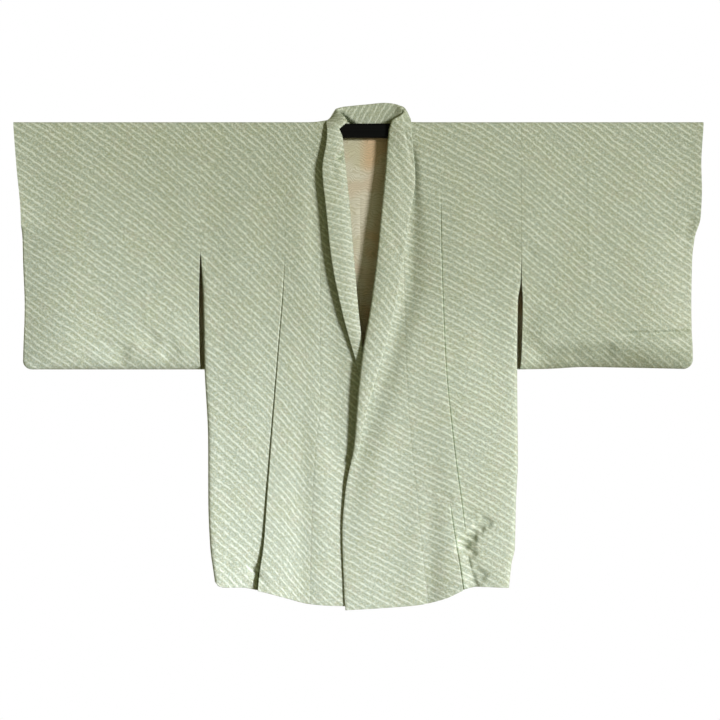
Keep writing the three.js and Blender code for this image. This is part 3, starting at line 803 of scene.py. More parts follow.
@dataclass
class Sheet:
    """A grid of cloth that becomes a mesh with a face, a back and rounded edges.

    Attributes:
        points: rows by columns by (x, y, z), on the face.
        uv: rows by columns by (along the stripes, across them).
        thickness: of the wall.
        facing: 1 where rows cross columns points out of the cloth's face, -1 where it points in.
        round_edges: how far each free edge bulges, for the first row, last column, last row and
            first column.
    """

    points: Array
    uv: Array
    thickness: float
    facing: int
    round_edges: tuple[float, float, float, float] = (0.8, 0.8, 0.8, 0.8)

    def normals(self) -> Array:
        """Work out the outward directions.

        Returns:
            A unit vector for each point.
        """
        down = np.gradient(self.points, axis=0)
        over = np.gradient(self.points, axis=1)
        cross = np.cross(down, over)
        size = np.linalg.norm(cross, axis=-1, keepdims=True)
        return self.facing * cross / np.maximum(size, 1e-9)

    def edge_loop(self) -> tuple[Array, Array, Array]:
        """Go once round the sheet's edge.

        Returns:
            The flat index of each point there, that of its inner neighbour, and its bulge.
        """
        rows, columns = self.points.shape[:2]
        index = np.arange(rows * columns).reshape(rows, columns)
        sides = (
            (index[0, :-1], index[1, :-1]),
            (index[:-1, -1], index[:-1, -2]),
            (index[-1, :0:-1], index[-2, :0:-1]),
            (index[:0:-1, 0], index[:0:-1, 1]),
        )
        bulge = [np.full(len(a), b) for (a, _), b in zip(sides, self.round_edges)]
        return (
            np.concatenate([a for a, _ in sides]),
            np.concatenate([b for _, b in sides]),
            np.concatenate(bulge),
        )

    def build(self, name: str, materials: Sequence[bpy.types.Material]) -> bpy.types.Object:
        """Make the mesh object.

        Args:
            name: the piece's name.
            materials: the face's material, and after it the back's where that differs.

        Returns:
            The new object, linked to the scene.
        """
        rows, columns = self.points.shape[:2]
        normals = self.normals().reshape(-1, 3)
        face = self.points.reshape(-1, 3)
        back = face - normals * self.thickness
        loop, inner, bulge = self.edge_loop()
        outward = face[loop] - face[inner]
        outward = outward - normals[loop] * np.sum(outward * normals[loop], 1, keepdims=True)
        outward = outward / np.maximum(np.linalg.norm(outward, axis=1, keepdims=True), 1e-9)
        rims = []
        for angle in (math.pi / 3, 2 * math.pi / 3):
            inwards = self.thickness * (1 - math.cos(angle)) / 2
            swell = (bulge * math.sin(angle))[:, None]
            rims.append(face[loop] - normals[loop] * inwards + outward * swell)
        count, edge = len(face), len(loop)
        vertices = np.concatenate([face, back, *rims])
        uv = self.uv.reshape(-1, 2)
        uv = np.concatenate([uv, uv, uv[loop], uv[loop]])

        index = np.arange(count).reshape(rows, columns)
        quads = np.stack(
            [index[:-1, :-1], index[1:, :-1], index[1:, 1:], index[:-1, 1:]], axis=-1
        ).reshape(-1, 4)
        if self.facing < 0:
            quads = quads[:, ::-1]
        rings = [loop, 2 * count + np.arange(edge), 2 * count + edge + np.arange(edge)]
        rings.append(loop + count)
        rim_quads = [
            np.stack([a, np.roll(a, -1), np.roll(b, -1), b], axis=-1)
            for a, b in zip(rings, rings[1:])
        ]
        rim = np.concatenate(rim_quads)
        if self.facing < 0:
            rim = rim[:, ::-1]
        faces = np.concatenate([quads, (quads + count)[:, ::-1], rim])
        slots = np.zeros(len(faces), np.int32)
        slots[len(quads) : 2 * len(quads)] = len(materials) - 1
        piece = make_object(name, vertices, faces, materials, uv=uv, slots=slots)
        self.sharpen(piece.data, loop[bulge < 0.2])
        return piece

    def sharpen(self, mesh: bpy.types.Mesh, seam: Array) -> None:
        """Give the face a crisp end where it meets another piece in a seam.

        Args:
            mesh: the piece's mesh.
            seam: the indices of the face's points along its seams.
        """
        ends = np.zeros(2 * len(mesh.edges), np.int32)
        mesh.edges.foreach_get("vertices", ends)
        sewn = np.zeros(len(mesh.vertices), bool)
        sewn[seam] = True
        crisp = mesh.attributes.new("sharp_edge", "BOOLEAN", "EDGE")
        crisp.data.foreach_set("value", sewn[ends].reshape(-1, 2).all(axis=1))


def make_object(
    name: str,
    vertices: Array,
    faces: Array,
    materials: Sequence[bpy.types.Material],
    uv: Array | None = None,
    slots: Array | None = None,
) -> bpy.types.Object:
    """Make a smooth mesh object from arrays in millimetres.

    Args:
        name: the object's name.
        vertices: the points.
        faces: the points' indices, a row for each face.
        materials: the materials, in slot order.
        uv: a place on the cloth for each point, in millimetres.
        slots: the material index of each face.

    Returns:
        The new object, linked to the scene.
    """
    mesh = bpy.data.meshes.new(name)
    mesh.from_pydata((vertices * MM).tolist(), [], faces.tolist())
    for material in materials:
        mesh.materials.append(material)
    if slots is not None:
        mesh.polygons.foreach_set("material_index", slots)
    mesh.polygons.foreach_set("use_smooth", np.ones(len(mesh.polygons), bool))
    if uv is not None:
        layer = mesh.uv_layers.new(name="cloth")
        corner = np.zeros(len(mesh.loops), np.int32)
        mesh.loops.foreach_get("vertex_index", corner)
        layer.data.foreach_set("uv", (uv[corner] * MM).ravel())
    mesh.validate()
    mesh.update()
    piece = bpy.data.objects.new(name, mesh)
    bpy.context.scene.collection.objects.link(piece)
    return piece


def settle(piece: bpy.types.Object, slot: Slot, *nodes: str) -> bpy.types.Object:
    """Put a piece on the coat's only body and hide the CAD nodes whose place it takes.

    Args:
        piece: the piece.
        slot: its finish; not used.
        nodes: the nodes whose place it takes, if any.

    Returns:
        The same piece.
    """
    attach(piece, "root")
    if nodes:
        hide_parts(*nodes)
    return piece


# ---------------------------------------------------------------- finishes

FLAT = {"noise_dimensions": "2D"}
SMOOTH = {"interpolation_type": "SMOOTHSTEP"}
COLOURS = {"data_type": "RGBA"}


def linear(colour: str) -> tuple[float, float, float, float]:
    """Turn an sRGB colour to linear.

    Args:
        colour: the colour as "#RRGGBB".

    Returns:
        Linear red, green, blue and alpha.
    """
    parts = [int(colour[i : i + 2], 16) / 255 for i in (1, 3, 5)]
    light = [p / 12.92 if p <= 0.04045 else ((p + 0.055) / 1.055) ** 2.4 for p in parts]
    return (*light, 1.0)


def add_node(
    tree: bpy.types.NodeTree,
    kind: str,
    settings: dict[str, object] | None = None,
    links: dict[str | int, object] | None = None,
) -> bpy.types.Node:
    """Add a shader node with its settings and inputs.

    Args:
        tree: the node tree.
        kind: the node's type name, without its "ShaderNode".
        settings: the node's own properties.
        links: for each input, by name or index, a constant, another node (its first output) or
            a (node, output) pair.

    Returns:
        The new node.
    """
    node = tree.nodes.new(f"ShaderNode{kind}")
    for name, value in (settings or {}).items():
        setattr(node, name, value)
    for name, value in (links or {}).items():
        socket = node.inputs[name]
        if isinstance(value, bpy.types.Node):
            tree.links.new(value.outputs[0], socket)
        elif isinstance(value, tuple) and value and isinstance(value[0], bpy.types.Node):
            tree.links.new(value[0].outputs[value[1]], socket)
        else:
            socket.default_value = value
    return node


@dataclass(frozen=True)
class Layer:
    """A colour laid over what is below it, by the strength of one pattern.

    Attributes:
        pattern: the pattern's name.
        low: the pattern's value where the layer has its first share.
        high: the pattern's value where the layer has its second share.
        first: the layer's share at the low value.
        second: the layer's share at the high value.
        colour: its sRGB colour.
    """

    pattern: str
    low: float
    high: float
    first: float
    second: float
    colour: str


@dataclass(frozen=True)
class Finish:
    """What every finish shares: a name, an empty node tree and colours laid in layers.

    Attributes:
        name: of the material.
    """

    name: str = "finish"

    def start(self) -> tuple[bpy.types.Material, Callable[..., bpy.types.Node]]:
        """Start a material.

        Returns:
            The material, without nodes, and the function that adds a node to it.
        """
        material = bpy.data.materials.new(self.name)
        material.use_nodes = True
        material.node_tree.nodes.clear()
        return material, partial(add_node, material.node_tree)

    def layered(
        self,
        add: Callable[..., bpy.types.Node],
        patterns: dict[str, object],
        first: str,
        layers: Sequence[Layer],
    ) -> tuple[bpy.types.Node, int]:
        """Lay colours over a base.

        Args:
            add: adds a node to the tree.
            patterns: each pattern's node.
            first: the base's sRGB colour.
            layers: from the lowest up.

        Returns:
            The node and output that give the colour.
        """
        colour: object = linear(first)
        for layer in layers:
            span = {0: patterns[layer.pattern], 1: layer.low, 2: layer.high}
            share = add("MapRange", SMOOTH, {**span, 3: layer.first, 4: layer.second})
            colour = (add("Mix", COLOURS, {0: share, 6: colour, 7: linear(layer.colour)}), 2)
        return colour


SAGE_SHADE = "#929D7F"
PALE_STRIPE = "#D6E1CE"


@dataclass(frozen=True)
class StripedSilk(Finish):
    """Figured silk crepe, woven with thin raised pale stripes in groups of four.

    The stripes are broken like beads and the ground between them has short slanting floats, so
    the eye sees a soft shimmer from sage to mint. Crepe threads are 0.1 to 0.2 mm thick and too
    fine to show, so the floats are drawn 3.6 mm apart and the grain 2.2 mm wide.

    Attributes:
        name: of the material.
        repeat_mm: from one group of stripes to the next.
        stripe_places_mm: where the stripes of a group begin.
        stripe_half_mm: half the width of a stripe.
        float_mm: from one slanting float to the next.
        ground: sRGB colour of the ground.
        clouds: the uneven patterns: name, size in mm, detail, shift.
        threads: patterns drawn out along the stripes: name, length and width in mm, detail.
        layers: the colours over the ground, from the lowest up.
    """

    name: str = "striped_silk_crepe"
    repeat_mm: float = 47.2
    stripe_places_mm: tuple[float, ...] = (5.0, 15.0, 25.0, 38.6)
    stripe_half_mm: float = 3.3
    float_mm: float = 3.6
    ground: str = "#AFB9A2"
    clouds: tuple[tuple[str, float, float, float], ...] = (
        ("wobble", 60.0, 2.0, 0.0),
        ("drift", 6.0, 1.0, 0.0),
        ("worn", 26.0, 2.0, 0.0),
        ("tone", 34.0, 3.0, 0.0),
        ("hue", 20.0, 2.0, 4.0),
        ("bloom", 80.0, 1.0, 9.0),
        ("grain", 2.2, 1.0, 5.0),
        ("speck", 4.2, 1.0, 7.0),
        ("crepe", 0.9, 2.0, 0.0),
    )
    threads: tuple[tuple[str, float, float, float], ...] = (
        ("beads", 7.5, 5.0, 1.0),
        ("knots", 3.6, 3.0, 3.0),
        ("flecks", 5.0, 3.4, 2.0),
    )
    layers: tuple[Layer, ...] = (
        Layer("tone", 0.40, 0.60, 0.0, 0.8, "#B0BA9E"),
        Layer("hue", 0.50, 0.66, 0.0, 0.6, "#B7B8A6"),
        Layer("bloom", 0.35, 0.62, 0.0, 0.6, "#ACBAAA"),
        Layer("speck", 0.50, 0.68, 0.0, 0.5, "#B9BC93"),
        Layer("speck", 0.32, 0.50, 0.5, 0.0, "#A5BDB1"),
        Layer("hatch", -1.0, 1.0, 0.38, 0.0, SAGE_SHADE),
        Layer("flecks", 0.34, 0.50, 0.46, 0.0, SAGE_SHADE),
        Layer("flecks", 0.50, 0.68, 0.0, 0.42, PALE_STRIPE),
        Layer("grain", 0.30, 0.50, 0.46, 0.0, "#8A957F"),
        Layer("grain", 0.52, 0.72, 0.0, 0.42, PALE_STRIPE),
        # Painted shade: the dark line beside each raised stripe.
        Layer("dark", 0.0, 1.0, 0.0, 0.70, SAGE_SHADE),
        Layer("stripe", 0.0, 1.0, 0.0, 0.86, PALE_STRIPE),
    )

    def build(self) -> bpy.types.Material:
        """Make the finish.

        Returns:
            The node material.
        """
        material, add = self.start()
        place = add("UVMap", {"uv_map": "cloth"})
        split = add("SeparateXYZ", {}, {0: place})
        seen: dict[str, object] = {}
        for name, size, detail, shift in self.clouds:
            moved = add("VectorMath", {}, {0: place, 1: (shift, shift, 0.0)})
            links = {"Vector": moved, "Scale": 1 / (size * MM), "Detail": detail}
            seen[name] = add("TexNoise", FLAT, links)

        # The stripes waver slowly over the cloth and a little from thread to thread.
        bend = {"operation": "MULTIPLY_ADD"}
        bent = add("Math", bend, {0: seen["wobble"], 1: 0.008, 2: (split, 1)})
        bent = add("Math", bend, {0: seen["drift"], 1: 0.0026, 2: bent})
        for name, length, width, detail in self.threads:
            along = add("Math", {"operation": "DIVIDE"}, {0: (split, 0), 1: length * MM})
            over = add("Math", {"operation": "DIVIDE"}, {0: bent, 1: width * MM})
            both = add("CombineXYZ", {}, {0: along, 1: over})
            seen[name] = add("TexNoise", FLAT, {"Vector": both, "Scale": 1.0, "Detail": detail})

        turn = add("Math", {"operation": "DIVIDE"}, {0: bent, 1: self.repeat_mm * MM})
        turn = add("Math", {"operation": "FRACT"}, {0: turn})
        # Each stripe has a darker line beside it, painted as the raised stripe's shade, and both
        # are broken by their own clouds.
        marks = (
            ("stripe", 0.0, self.stripe_half_mm, "beads", 0.3, 0.66, 0.35),
            ("dark", 3.9, 2.4, "knots", 0.42, 0.66, 0.0),
        )
        for name, offset, half, broken_by, low, high, least in marks:
            ramp = add("ValToRGB", {}, {0: turn})
            self.mark_lines(ramp.color_ramp, offset, half)
            span = {0: seen[broken_by], 1: low, 2: high, 3: least, 4: 1.0}
            broken = add("MapRange", SMOOTH, span)
            seen[name] = add("Math", {"operation": "MULTIPLY"}, {0: ramp, 1: broken})

        slanted = add("Math", bend, {0: bent, 1: 0.55, 2: (split, 0)})
        turns = 2 * math.pi / (self.float_mm * MM)
        ticks = add("Math", {"operation": "MULTIPLY"}, {0: slanted, 1: turns})
        ticks = add("Math", bend, {0: seen["drift"], 1: 9.0, 2: ticks})
        ticks = add("Math", {"operation": "SINE"}, {0: ticks})
        worn = add("MapRange", SMOOTH, {0: seen["worn"], 1: 0.42, 2: 0.66, 3: 0.1, 4: 1.0})
        seen["hatch"] = add("Math", {"operation": "MULTIPLY"}, {0: ticks, 1: worn})

        raised = add("Math", bend, {0: seen["hatch"], 1: 0.18, 2: seen["stripe"]})
        raised = add("Math", bend, {0: seen["crepe"], 1: 0.35, 2: raised})
        relief = add("Bump", {}, {"Strength": 0.5, "Distance": 0.0006, "Height": raised})
        surface = add(
            "BsdfPrincipled",
            {},
            {
                "Base Color": self.layered(add, seen, self.ground, self.layers),
                "Roughness": 0.52,
                "IOR": 1.5,
                "Specular IOR Level": 0.35,
                "Sheen Weight": 0.18,
                "Sheen Roughness": 0.45,
                "Sheen Tint": linear("#EFF3DC"),
                "Normal": relief,
            },
        )
        add("OutputMaterial", {}, {"Surface": surface})
        return material

    def mark_lines(self, ramp: bpy.types.ColorRamp, offset: float, half: float) -> None:
        """Give a ramp a soft line at each stripe of the repeat.

        Args:
            ramp: the ramp, over one repeat.
            offset: how far the lines lie from the stripes, in mm.
            half: half a line's width, in mm.
        """
        ramp.interpolation = "EASE"
        stops = [
            ((place + offset + step) / self.repeat_mm, value)
            for place in self.stripe_places_mm
            for step, value in ((-half, 0.0), (0.0, 1.0), (half, 0.0))
        ]
        while len(ramp.elements) < len(stops):
            ramp.elements.new(1.0)
        for element, (place, value) in zip(ramp.elements, stops):
            element.position = place
            element.color = (value, value, value, 1.0)


@dataclass(frozen=True)
class FiguredLining(Finish):
    """Smooth cream silk lining with fine wavy ribs and faint dyed clouds.

    It is brighter and softer than the face cloth. Its ribs are under 1 mm apart and are drawn
    5 mm apart to show. A warm brown is painted as shade over the wearer's left half, where the
    collar's shadow falls.

    Attributes:
        name: of the material.
        rib_mm: from one rib to the next.
        cream: sRGB colour of the ground.
        layers: the colours over it, from the lowest up.
    """

    name: str = "figured_cream_lining"
    rib_mm: float = 5.0
    cream: str = "#C9C8AC"
    layers: tuple[Layer, ...] = (
        # Painted shade: a warm brown over the wearer's left half of the back lining, from the
        # centre seam outwards, warming the collar's cast shadow there.
        Layer("over", -0.008, 0.018, 0.0, 0.7, "#D2AE86"),
        Layer("cloud", 0.38, 0.62, 0.0, 0.8, "#D6D6C4"),
        Layer("tint", 0.50, 0.68, 0.0, 0.7, "#CFC1A8"),
        Layer("ribs", 0.0, 1.0, 0.0, 0.42, "#A49E7C"),
    )

    def build(self) -> bpy.types.Material:
        """Make the finish.

        Returns:
            The node material.
        """
        material, add = self.start()
        place = add("UVMap", {"uv_map": "cloth"})
        split = add("SeparateXYZ", {}, {0: place})
        seen: dict[str, object] = {}
        for name, size, shift in (("sway", 30.0, 0.0), ("cloud", 90.0, 3.0), ("tint", 60.0, 7.0)):
            moved = add("VectorMath", {}, {0: place, 1: (shift, shift, 0.0)})
            links = {"Vector": moved, "Scale": 1 / (size * MM), "Detail": 2.0}
            seen[name] = add("TexNoise", FLAT, links)
        height = add(
            "Math", {"operation": "MULTIPLY_ADD"}, {0: seen["sway"], 1: 0.03, 2: (split, 1)}
        )
        turns = 2 * math.pi / (self.rib_mm * MM)
        ribs = add("Math", {"operation": "MULTIPLY"}, {0: height, 1: turns})
        seen["ribs"] = add("Math", {"operation": "SINE"}, {0: ribs})
        # The place across the back, which the painted warm shade follows.
        seen["over"] = (split, 0)
        relief = add("Bump", {}, {"Strength": 0.4, "Distance": 0.0004, "Height": seen["ribs"]})
        surface = add(
            "BsdfPrincipled",
            {},
            {
                "Base Color": self.layered(add, seen, self.cream, self.layers),
                "Roughness": 0.42,
                "IOR": 1.5,
                "Specular IOR Level": 0.4,
                "Sheen Weight": 0.1,
                "Normal": relief,
            },
        )
        add("OutputMaterial", {}, {"Surface": surface})
        return material


@dataclass(frozen=True)
class MouldedBlackPlastic(Finish):
    """Black polypropylene tube with a dull even gloss and faint lengthwise draw marks.

    Attributes:
        name: of the material.
        base: its sRGB colour.
        layers: the colours over it, from the lowest up.
    """

    name: str = "moulded_black_plastic"
    base: str = "#030404"
    layers: tuple[Layer, ...] = (Layer("marks", 0.4, 0.7, 0.0, 1.0, "#080B09"),)

    def build(self) -> bpy.types.Material:
        """Make the finish.

        Returns:
            The node material.
        """
        material, add = self.start()
        place = add("TexCoord")
        long_marks = add(
            "Mapping", {}, {"Vector": (place, "Object"), "Scale": (3.0, 400.0, 400.0)}
        )
        marks = add("TexNoise", {}, {"Vector": long_marks, "Scale": 1.0, "Detail": 3.0})
        relief = add("Bump", {}, {"Strength": 0.2, "Distance": 0.0002, "Height": marks})
        surface = add(
            "BsdfPrincipled",
            {},
            {
                "Base Color": self.layered(add, {"marks": marks}, self.base, self.layers),
                "Roughness": 0.6,
                "IOR": 1.49,
                "Specular IOR Level": 0.08,
                "Normal": relief,
            },
        )
        add("OutputMaterial", {}, {"Surface": surface})
        return material


@dataclass(frozen=True)
class SilkThread(Finish):
    """Twisted silk sewing thread, a little deeper than the cloth so each stitch shows.

    Attributes:
        name: of the material.
        base: its sRGB colour.
        layers: the colours over it, from the lowest up.
    """

    name: str = "twisted_silk_thread"
    base: str = "#7C8763"
    layers: tuple[Layer, ...] = (Layer("twist", 0.4, 0.6, 0.0, 1.0, "#97A27E"),)

    def build(self) -> bpy.types.Material:
        """Make the finish.

        Returns:
            The node material.
        """
        material, add = self.start()
        place = add("TexCoord")
        links = {"Vector": (place, "Object"), "Scale": 1 / (0.4 * MM), "Detail": 1.0}
        twist = add("TexNoise", {}, links)
        surface = add(
            "BsdfPrincipled",
            {},
            {
                "Base Color": self.layered(add, {"twist": twist}, self.base, self.layers),
                "Roughness": 0.45,
                "Sheen Weight": 0.2,
            },
        )
        add("OutputMaterial", {}, {"Surface": surface})
        return material


@dataclass
class Finishes:
    """The part's finishes, built once and shared by all pieces.

    Attributes:
        silk: of the face cloth.
        lining: of the back's lining.
        bar: of the bar.
        thread: of the stitches.
    """

    silk: bpy.types.Material = field(default_factory=lambda: StripedSilk().build())
    lining: bpy.types.Material = field(default_factory=lambda: FiguredLining().build())
    bar: bpy.types.Material = field(default_factory=lambda: MouldedBlackPlastic().build())
    thread: bpy.types.Material = field(default_factory=lambda: SilkThread().build())


# ---------------------------------------------------------------- pieces


def spread(start: Array, end: Array, count: int, last: bool = True) -> Array:
    """Return evenly spread columns between two edges, a row for each pair of edge values."""
    t = np.linspace(0, 1, count + (not last))[: count if not last else None]
    return start[:, None] + (end - start)[:, None] * t[None, :]


@dataclass
class HalfBody:
    """One half of the coat's trunk: body panel, overlap panel, back lining and seams.

    Attributes:
        half: the cut of this half.
        finishes: the materials.
        front_rows: rows down the front, above its lowest part.
        back_rows: rows down the back.
        hem_rows: rows of the front's lowest part.
        hem_rows_between: levels of the last row above that part and of its first.
        overlap_rows: rows down the overlap panel.
        between: columns before the first tuck, between two tucks, and after the last.
        seam_offsets: how far the first columns lie from a seam, where the cloth turns in.
        turned: how far it turns in.
        tuck_offsets: how far the columns at a tuck lie from its line.
        side_shares: the columns of the side, as shares of its quarter turn.
        drawn_size: how far from the neck the collar draws the cloth up, across and down.
        corner_drop: where the back's round corner begins, and its height.
        turn_width: how far from a seam the cloth turns in.
        evened: height over which the back's columns become even, and the share they begin with.
        overlap_columns: columns of the overlap panel beside those at the seam.
        overlap_full: width from which the columns at the seam have their full distances.
        path: the line of the cloth over the bar.
    """

    half: Half
    finishes: Finishes
    front_rows: int = 110
    back_rows: int = 120
    hem_rows: int = 82
    hem_rows_between: tuple[float, float] = (716.0, 718.5)
    overlap_rows: int = 136
    between: tuple[int, int, int] = (16, 4, 38)
    seam_offsets: tuple[float, ...] = (0.0, 0.6, 1.4, 2.6, 4.2)
    turned: float = 0.25
    tuck_offsets: tuple[float, ...] = (
        *(-8.0, -5.5, -3.8, -2.6, -1.8, -1.2, -0.7, -0.3),
        *(0.0, 0.3, 0.6, 0.9, 1.3, 1.8, 2.5, 3.6, 5.4, 8.0),
    )
    side_shares: tuple[float, ...] = (
        0.3, 0.5, 0.64, 0.74, 0.82, 0.88, 0.93, 0.965, 0.99, 1.0,
    )
    drawn_size: tuple[float, float] = (22.0, 70.0)
    corner_drop: tuple[float, float] = (830.0, 55.0)
    turn_width: float = 1.7
    evened: tuple[float, float] = (200.0, 0.3)
    overlap_columns: int = 26
    overlap_full: float = 12.0
    path: ShoulderPath = field(default_factory=ShoulderPath.over_bar)

    def __post_init__(self) -> None:
        """Read the half's lines once."""
        self.form = FrontForm(self.half)
        self.side = self.half.outline.curve("drop", "across")
        self.edge = self.half.front_edge.curve("drop", "across")
        self.seam = self.half.panel_seam.curve("drop", "across")
        self.hem = self.half.hem.curve("across", "drop")

    def hemmed(self, across: Array, level: Array) -> Array:
        """Return the drop of a row at each place: low rows bend to follow the hem.

        Args:
            across: distance from the centre line.
            level: the row's level.

        Returns:
            The drop at each place.
        """
        share = np.maximum(0, level - LEVEL_ABOVE) / (BODY_LENGTH - LEVEL_ABOVE)
        low = LEVEL_ABOVE + share * (self.hem(across) - LEVEL_ABOVE)
        return np.where(share > 0, low, self.drawn(across, level))

    def drawn(self, across: Array, level: Array) -> Array:
        """Return the drop of a row where the collar draws the shoulder's cloth up by the neck.

        Args:
            across: distance from the centre line.
            level: the row's level.

        Returns:
            The drop at each place.
        """
        width, height = self.drawn_size
        near = bump((across - self.half.neck) / width) * (1 - ease(level / height))
        return level - self.half.drawn_up * near

    def back_drop(self, across: Array, level: Array) -> Array:
        """Return the drop of a row of the back, whose hem has a round corner at the side.

        Args:
            across: distance from the centre line.
            level: the row's level.

        Returns:
            The drop at each place.
        """
        start, height = self.corner_drop
        beyond = np.clip((across - self.side(level)) / HEM_CORNER + 1, 0, 1)
        return self.drawn(across, level) - HEM_CORNER * ease((level - start) / height) * beyond**3

    def front_columns(self, inner: Array, outer: Array, level: Array) -> Array:
        """Return the places across each front row, closest together at seam and tucks.

        Args:
            inner: each row's first place.
            outer: each row's last place.
            level: each row's level.

        Returns:
            A row of places for each level.
        """
        lines = sorted((tuck.line(level) for tuck in self.form.tucks()), key=np.mean)
        near = np.array(self.tuck_offsets)[None, :]
        parts = [inner[:, None] + np.array(self.seam_offsets)[None, :]]
        for line in lines:
            gap = line[:, None] + near
            count = self.between[0] if len(parts) == 1 else self.between[1]
            parts.append(spread(parts[-1][:, -1], gap[:, 0], count, last=False)[:, 1:])
            parts.append(gap)
        parts.append(spread(parts[-1][:, -1], outer, self.between[2])[:, 1:])
        return np.concatenate(parts, axis=1)

    def with_side(
        self,
        columns: Array,
        level: Array,
        form: Callable[[Array, Array], Array],
        hem: Callable[[Array, Array], Array],
        seam_y: float,
    ) -> tuple[Array, Array, Array]:
        """Add the curve round to the side seam.

        Args:
            columns: the flat part's places across.
            level: each row's level.
            form: depth of the cloth at a place.
            hem: drop of a row at a place.
            seam_y: depth of the side seam.

        Returns:
            The points, the places along X on the flat cloth, and the drops.
        """
        side = self.side(level)[:, None]
        straight = side - SIDE_ROUND
        turning = ease((level - ARMHOLE) / SIDE_OPENING)[:, None]
        t = np.array(self.side_shares)[None, :]
        angle = t * math.pi / 2
        across = mix(straight, side, mix(t, np.sin(angle), turning))
        rows = level[:, None]
        flat_drop, round_drop = hem(columns, rows), hem(across, rows)
        depth = form(across, round_drop)
        full = (1 - np.sin(angle) ** SIDE_FULL) ** (1 / SIDE_FULL)
        depth = mix(depth, seam_y + (depth - seam_y) * full, turning)
        points = np.concatenate(
            [
                self.half.place(columns, form(columns, flat_drop), flat_drop),
                self.half.place(across, depth, round_drop),
            ],
            axis=1,
        )
        run_x = np.diff(np.concatenate([straight, across], axis=1), axis=1)
        run_y = np.diff(np.concatenate([form(straight, rows), depth], axis=1), axis=1)
        around = np.cumsum(np.hypot(run_x, run_y), axis=1)
        cloth = np.concatenate([columns, straight + around], axis=1)
        return points, cloth, np.concatenate([flat_drop, round_drop], axis=1)

    def turned_in(self, points: Array, towards: int, columns: Iterable[int]) -> Array:
        """Sink the cloth next to a seam, where its edge is turned in and sewn.

        Args:
            points: rows by columns of points.
            towards: the sign of y into the cloth.
            columns: the columns next to the seam, from it outwards.

        Returns:
            The moved points.
        """
        sunk = points.copy()
        for column, offset in zip(columns, self.seam_offsets):
            sunk[:, column, 1] += towards * self.turned * float(bump(offset / self.turn_width))
        return sunk

    def back_grid(self) -> tuple[Array, Array, Array]:
        """Work out the back, from the neckline down.

        Returns:
            Its points, the places along X on the flat cloth, and the drops.
        """
        neck = self.half.neck + SEAM / 2
        outer_0 = float(self.side(np.array(0.0))) - SIDE_ROUND
        shoulder = self.front_columns(np.array([neck]), np.array([outer_0]), np.array([0.0]))
        level = np.concatenate(
            [
                [NECKLINE_DROP - NECKLINE_DIP, NECKLINE_DROP],
                np.linspace(14, BODY_LENGTH, self.back_rows),
            ]
        )
        inner = np.where(np.arange(len(level)) == 0, neck, SEAM / 2)
        outer = self.side(level) - SIDE_ROUND
        even = spread(inner, outer, shoulder.shape[1])
        height, first = self.evened
        share = ease(first + level / height)[:, None]
        share[0] = 0
        moved = (shoulder - neck) / (outer_0 - neck)
        columns = mix(mix(inner[:, None], shoulder, moved), even, share)
        seam_y = SIDE_SEAM_Y + SEAM / 2
        return self.with_side(columns, level, back_depth, self.back_drop, seam_y)

    def body(self) -> bpy.types.Object:
        """Make the body panel, front and back in one length of cloth.

        Returns:
            The piece.
        """
        half = self.half
        upper = np.linspace(COLLAR_START, self.hem_rows_between[0], self.front_rows)
        lower = np.linspace(self.hem_rows_between[1], BODY_LENGTH, self.hem_rows)
        level = np.concatenate([upper, lower])
        inner = np.where(level < half.first_overlap, self.edge(level), self.seam(level))
        columns = self.front_columns(inner + SEAM / 2, self.side(level) - SIDE_ROUND, level)
        points, cloth, drop = self.with_side(
            columns, level, self.form.depth, self.hemmed, SIDE_SEAM_Y - SEAM / 2
        )
        points = self.turned_in(points, 1, range(len(self.seam_offsets)))
        front = points[::-1], cloth[::-1], self.path.below(drop)[::-1]

        path = self.path
        neck = np.full(len(path.y), half.neck + SEAM / 2)
        flat = self.front_columns(neck, np.full(len(neck), self.side(0) - SIDE_ROUND), 0 * neck)
        top, top_cloth, _ = self.with_side(
            flat,
            path.drop,
            lambda across, rows: np.broadcast_to(path.y[:, None], across.shape),
            self.drawn,
            0.0,
        )
        run = np.broadcast_to(path.run[:, None], top_cloth.shape)

        back_points, back_cloth, back_drop = self.back_grid()
        back_points = self.turned_in(back_points, -1, range(len(self.seam_offsets)))
        parts = (front, (top, top_cloth, run), (back_points, back_cloth, -path.below(back_drop)))
        grid, across, s = (np.concatenate([part[i] for part in parts]) for i in range(3))
        sheet = Sheet(
            grid,
            half.body_stripes.cloth_uv(half.side * across, s),
            CLOTH,
            -half.side,
            (0.8, 0.1, 0.8, 0.1),
        )
        name = f"body_panel_{half.name}"
        piece = sheet.build(name, (self.finishes.silk, self.finishes.lining))
        settle(piece, Slot.SILK, f"body_{half.name}")
        LOG.info("%s: %d by %d points", name, *grid.shape[:2])
        return piece

    def overlap(self) -> bpy.types.Object:
        """Make the overlap panel, from the seam to the collar or the front edge.

        Returns:
            The piece.
        """
        half = self.half
        level = np.linspace(half.first_overlap, BODY_LENGTH, self.overlap_rows)
        inner = self.edge(level) + SEAM / 2
        outer = self.seam(level) - SEAM / 2
        offsets = np.array(self.seam_offsets)[::-1]
        room = np.minimum(1.0, (outer - inner) / self.overlap_full)[:, None]
        near_seam = outer[:, None] - room * offsets[None, :]
        beside = spread(inner, near_seam[:, 0], self.overlap_columns, last=False)
        columns = np.concatenate([beside, near_seam], axis=1)
        drop = self.hemmed(columns, level[:, None])
        points = half.place(columns, self.form.depth(columns, drop), drop)
        last = points.shape[1] - 1
        points = self.turned_in(points, 1, range(last, last - len(offsets), -1))
        uv = half.overlap_stripes.cloth_uv(half.side * columns, self.path.below(drop))
        sheet = Sheet(points[::-1], uv[::-1], CLOTH, -half.side, (0.8, 0.1, 0.1, 0.8))
        name = f"overlap_panel_{half.name}"
        piece = sheet.build(name, (self.finishes.silk, self.finishes.lining))
        settle(piece, Slot.SILK, f"overlap_{half.name}")
        return piece

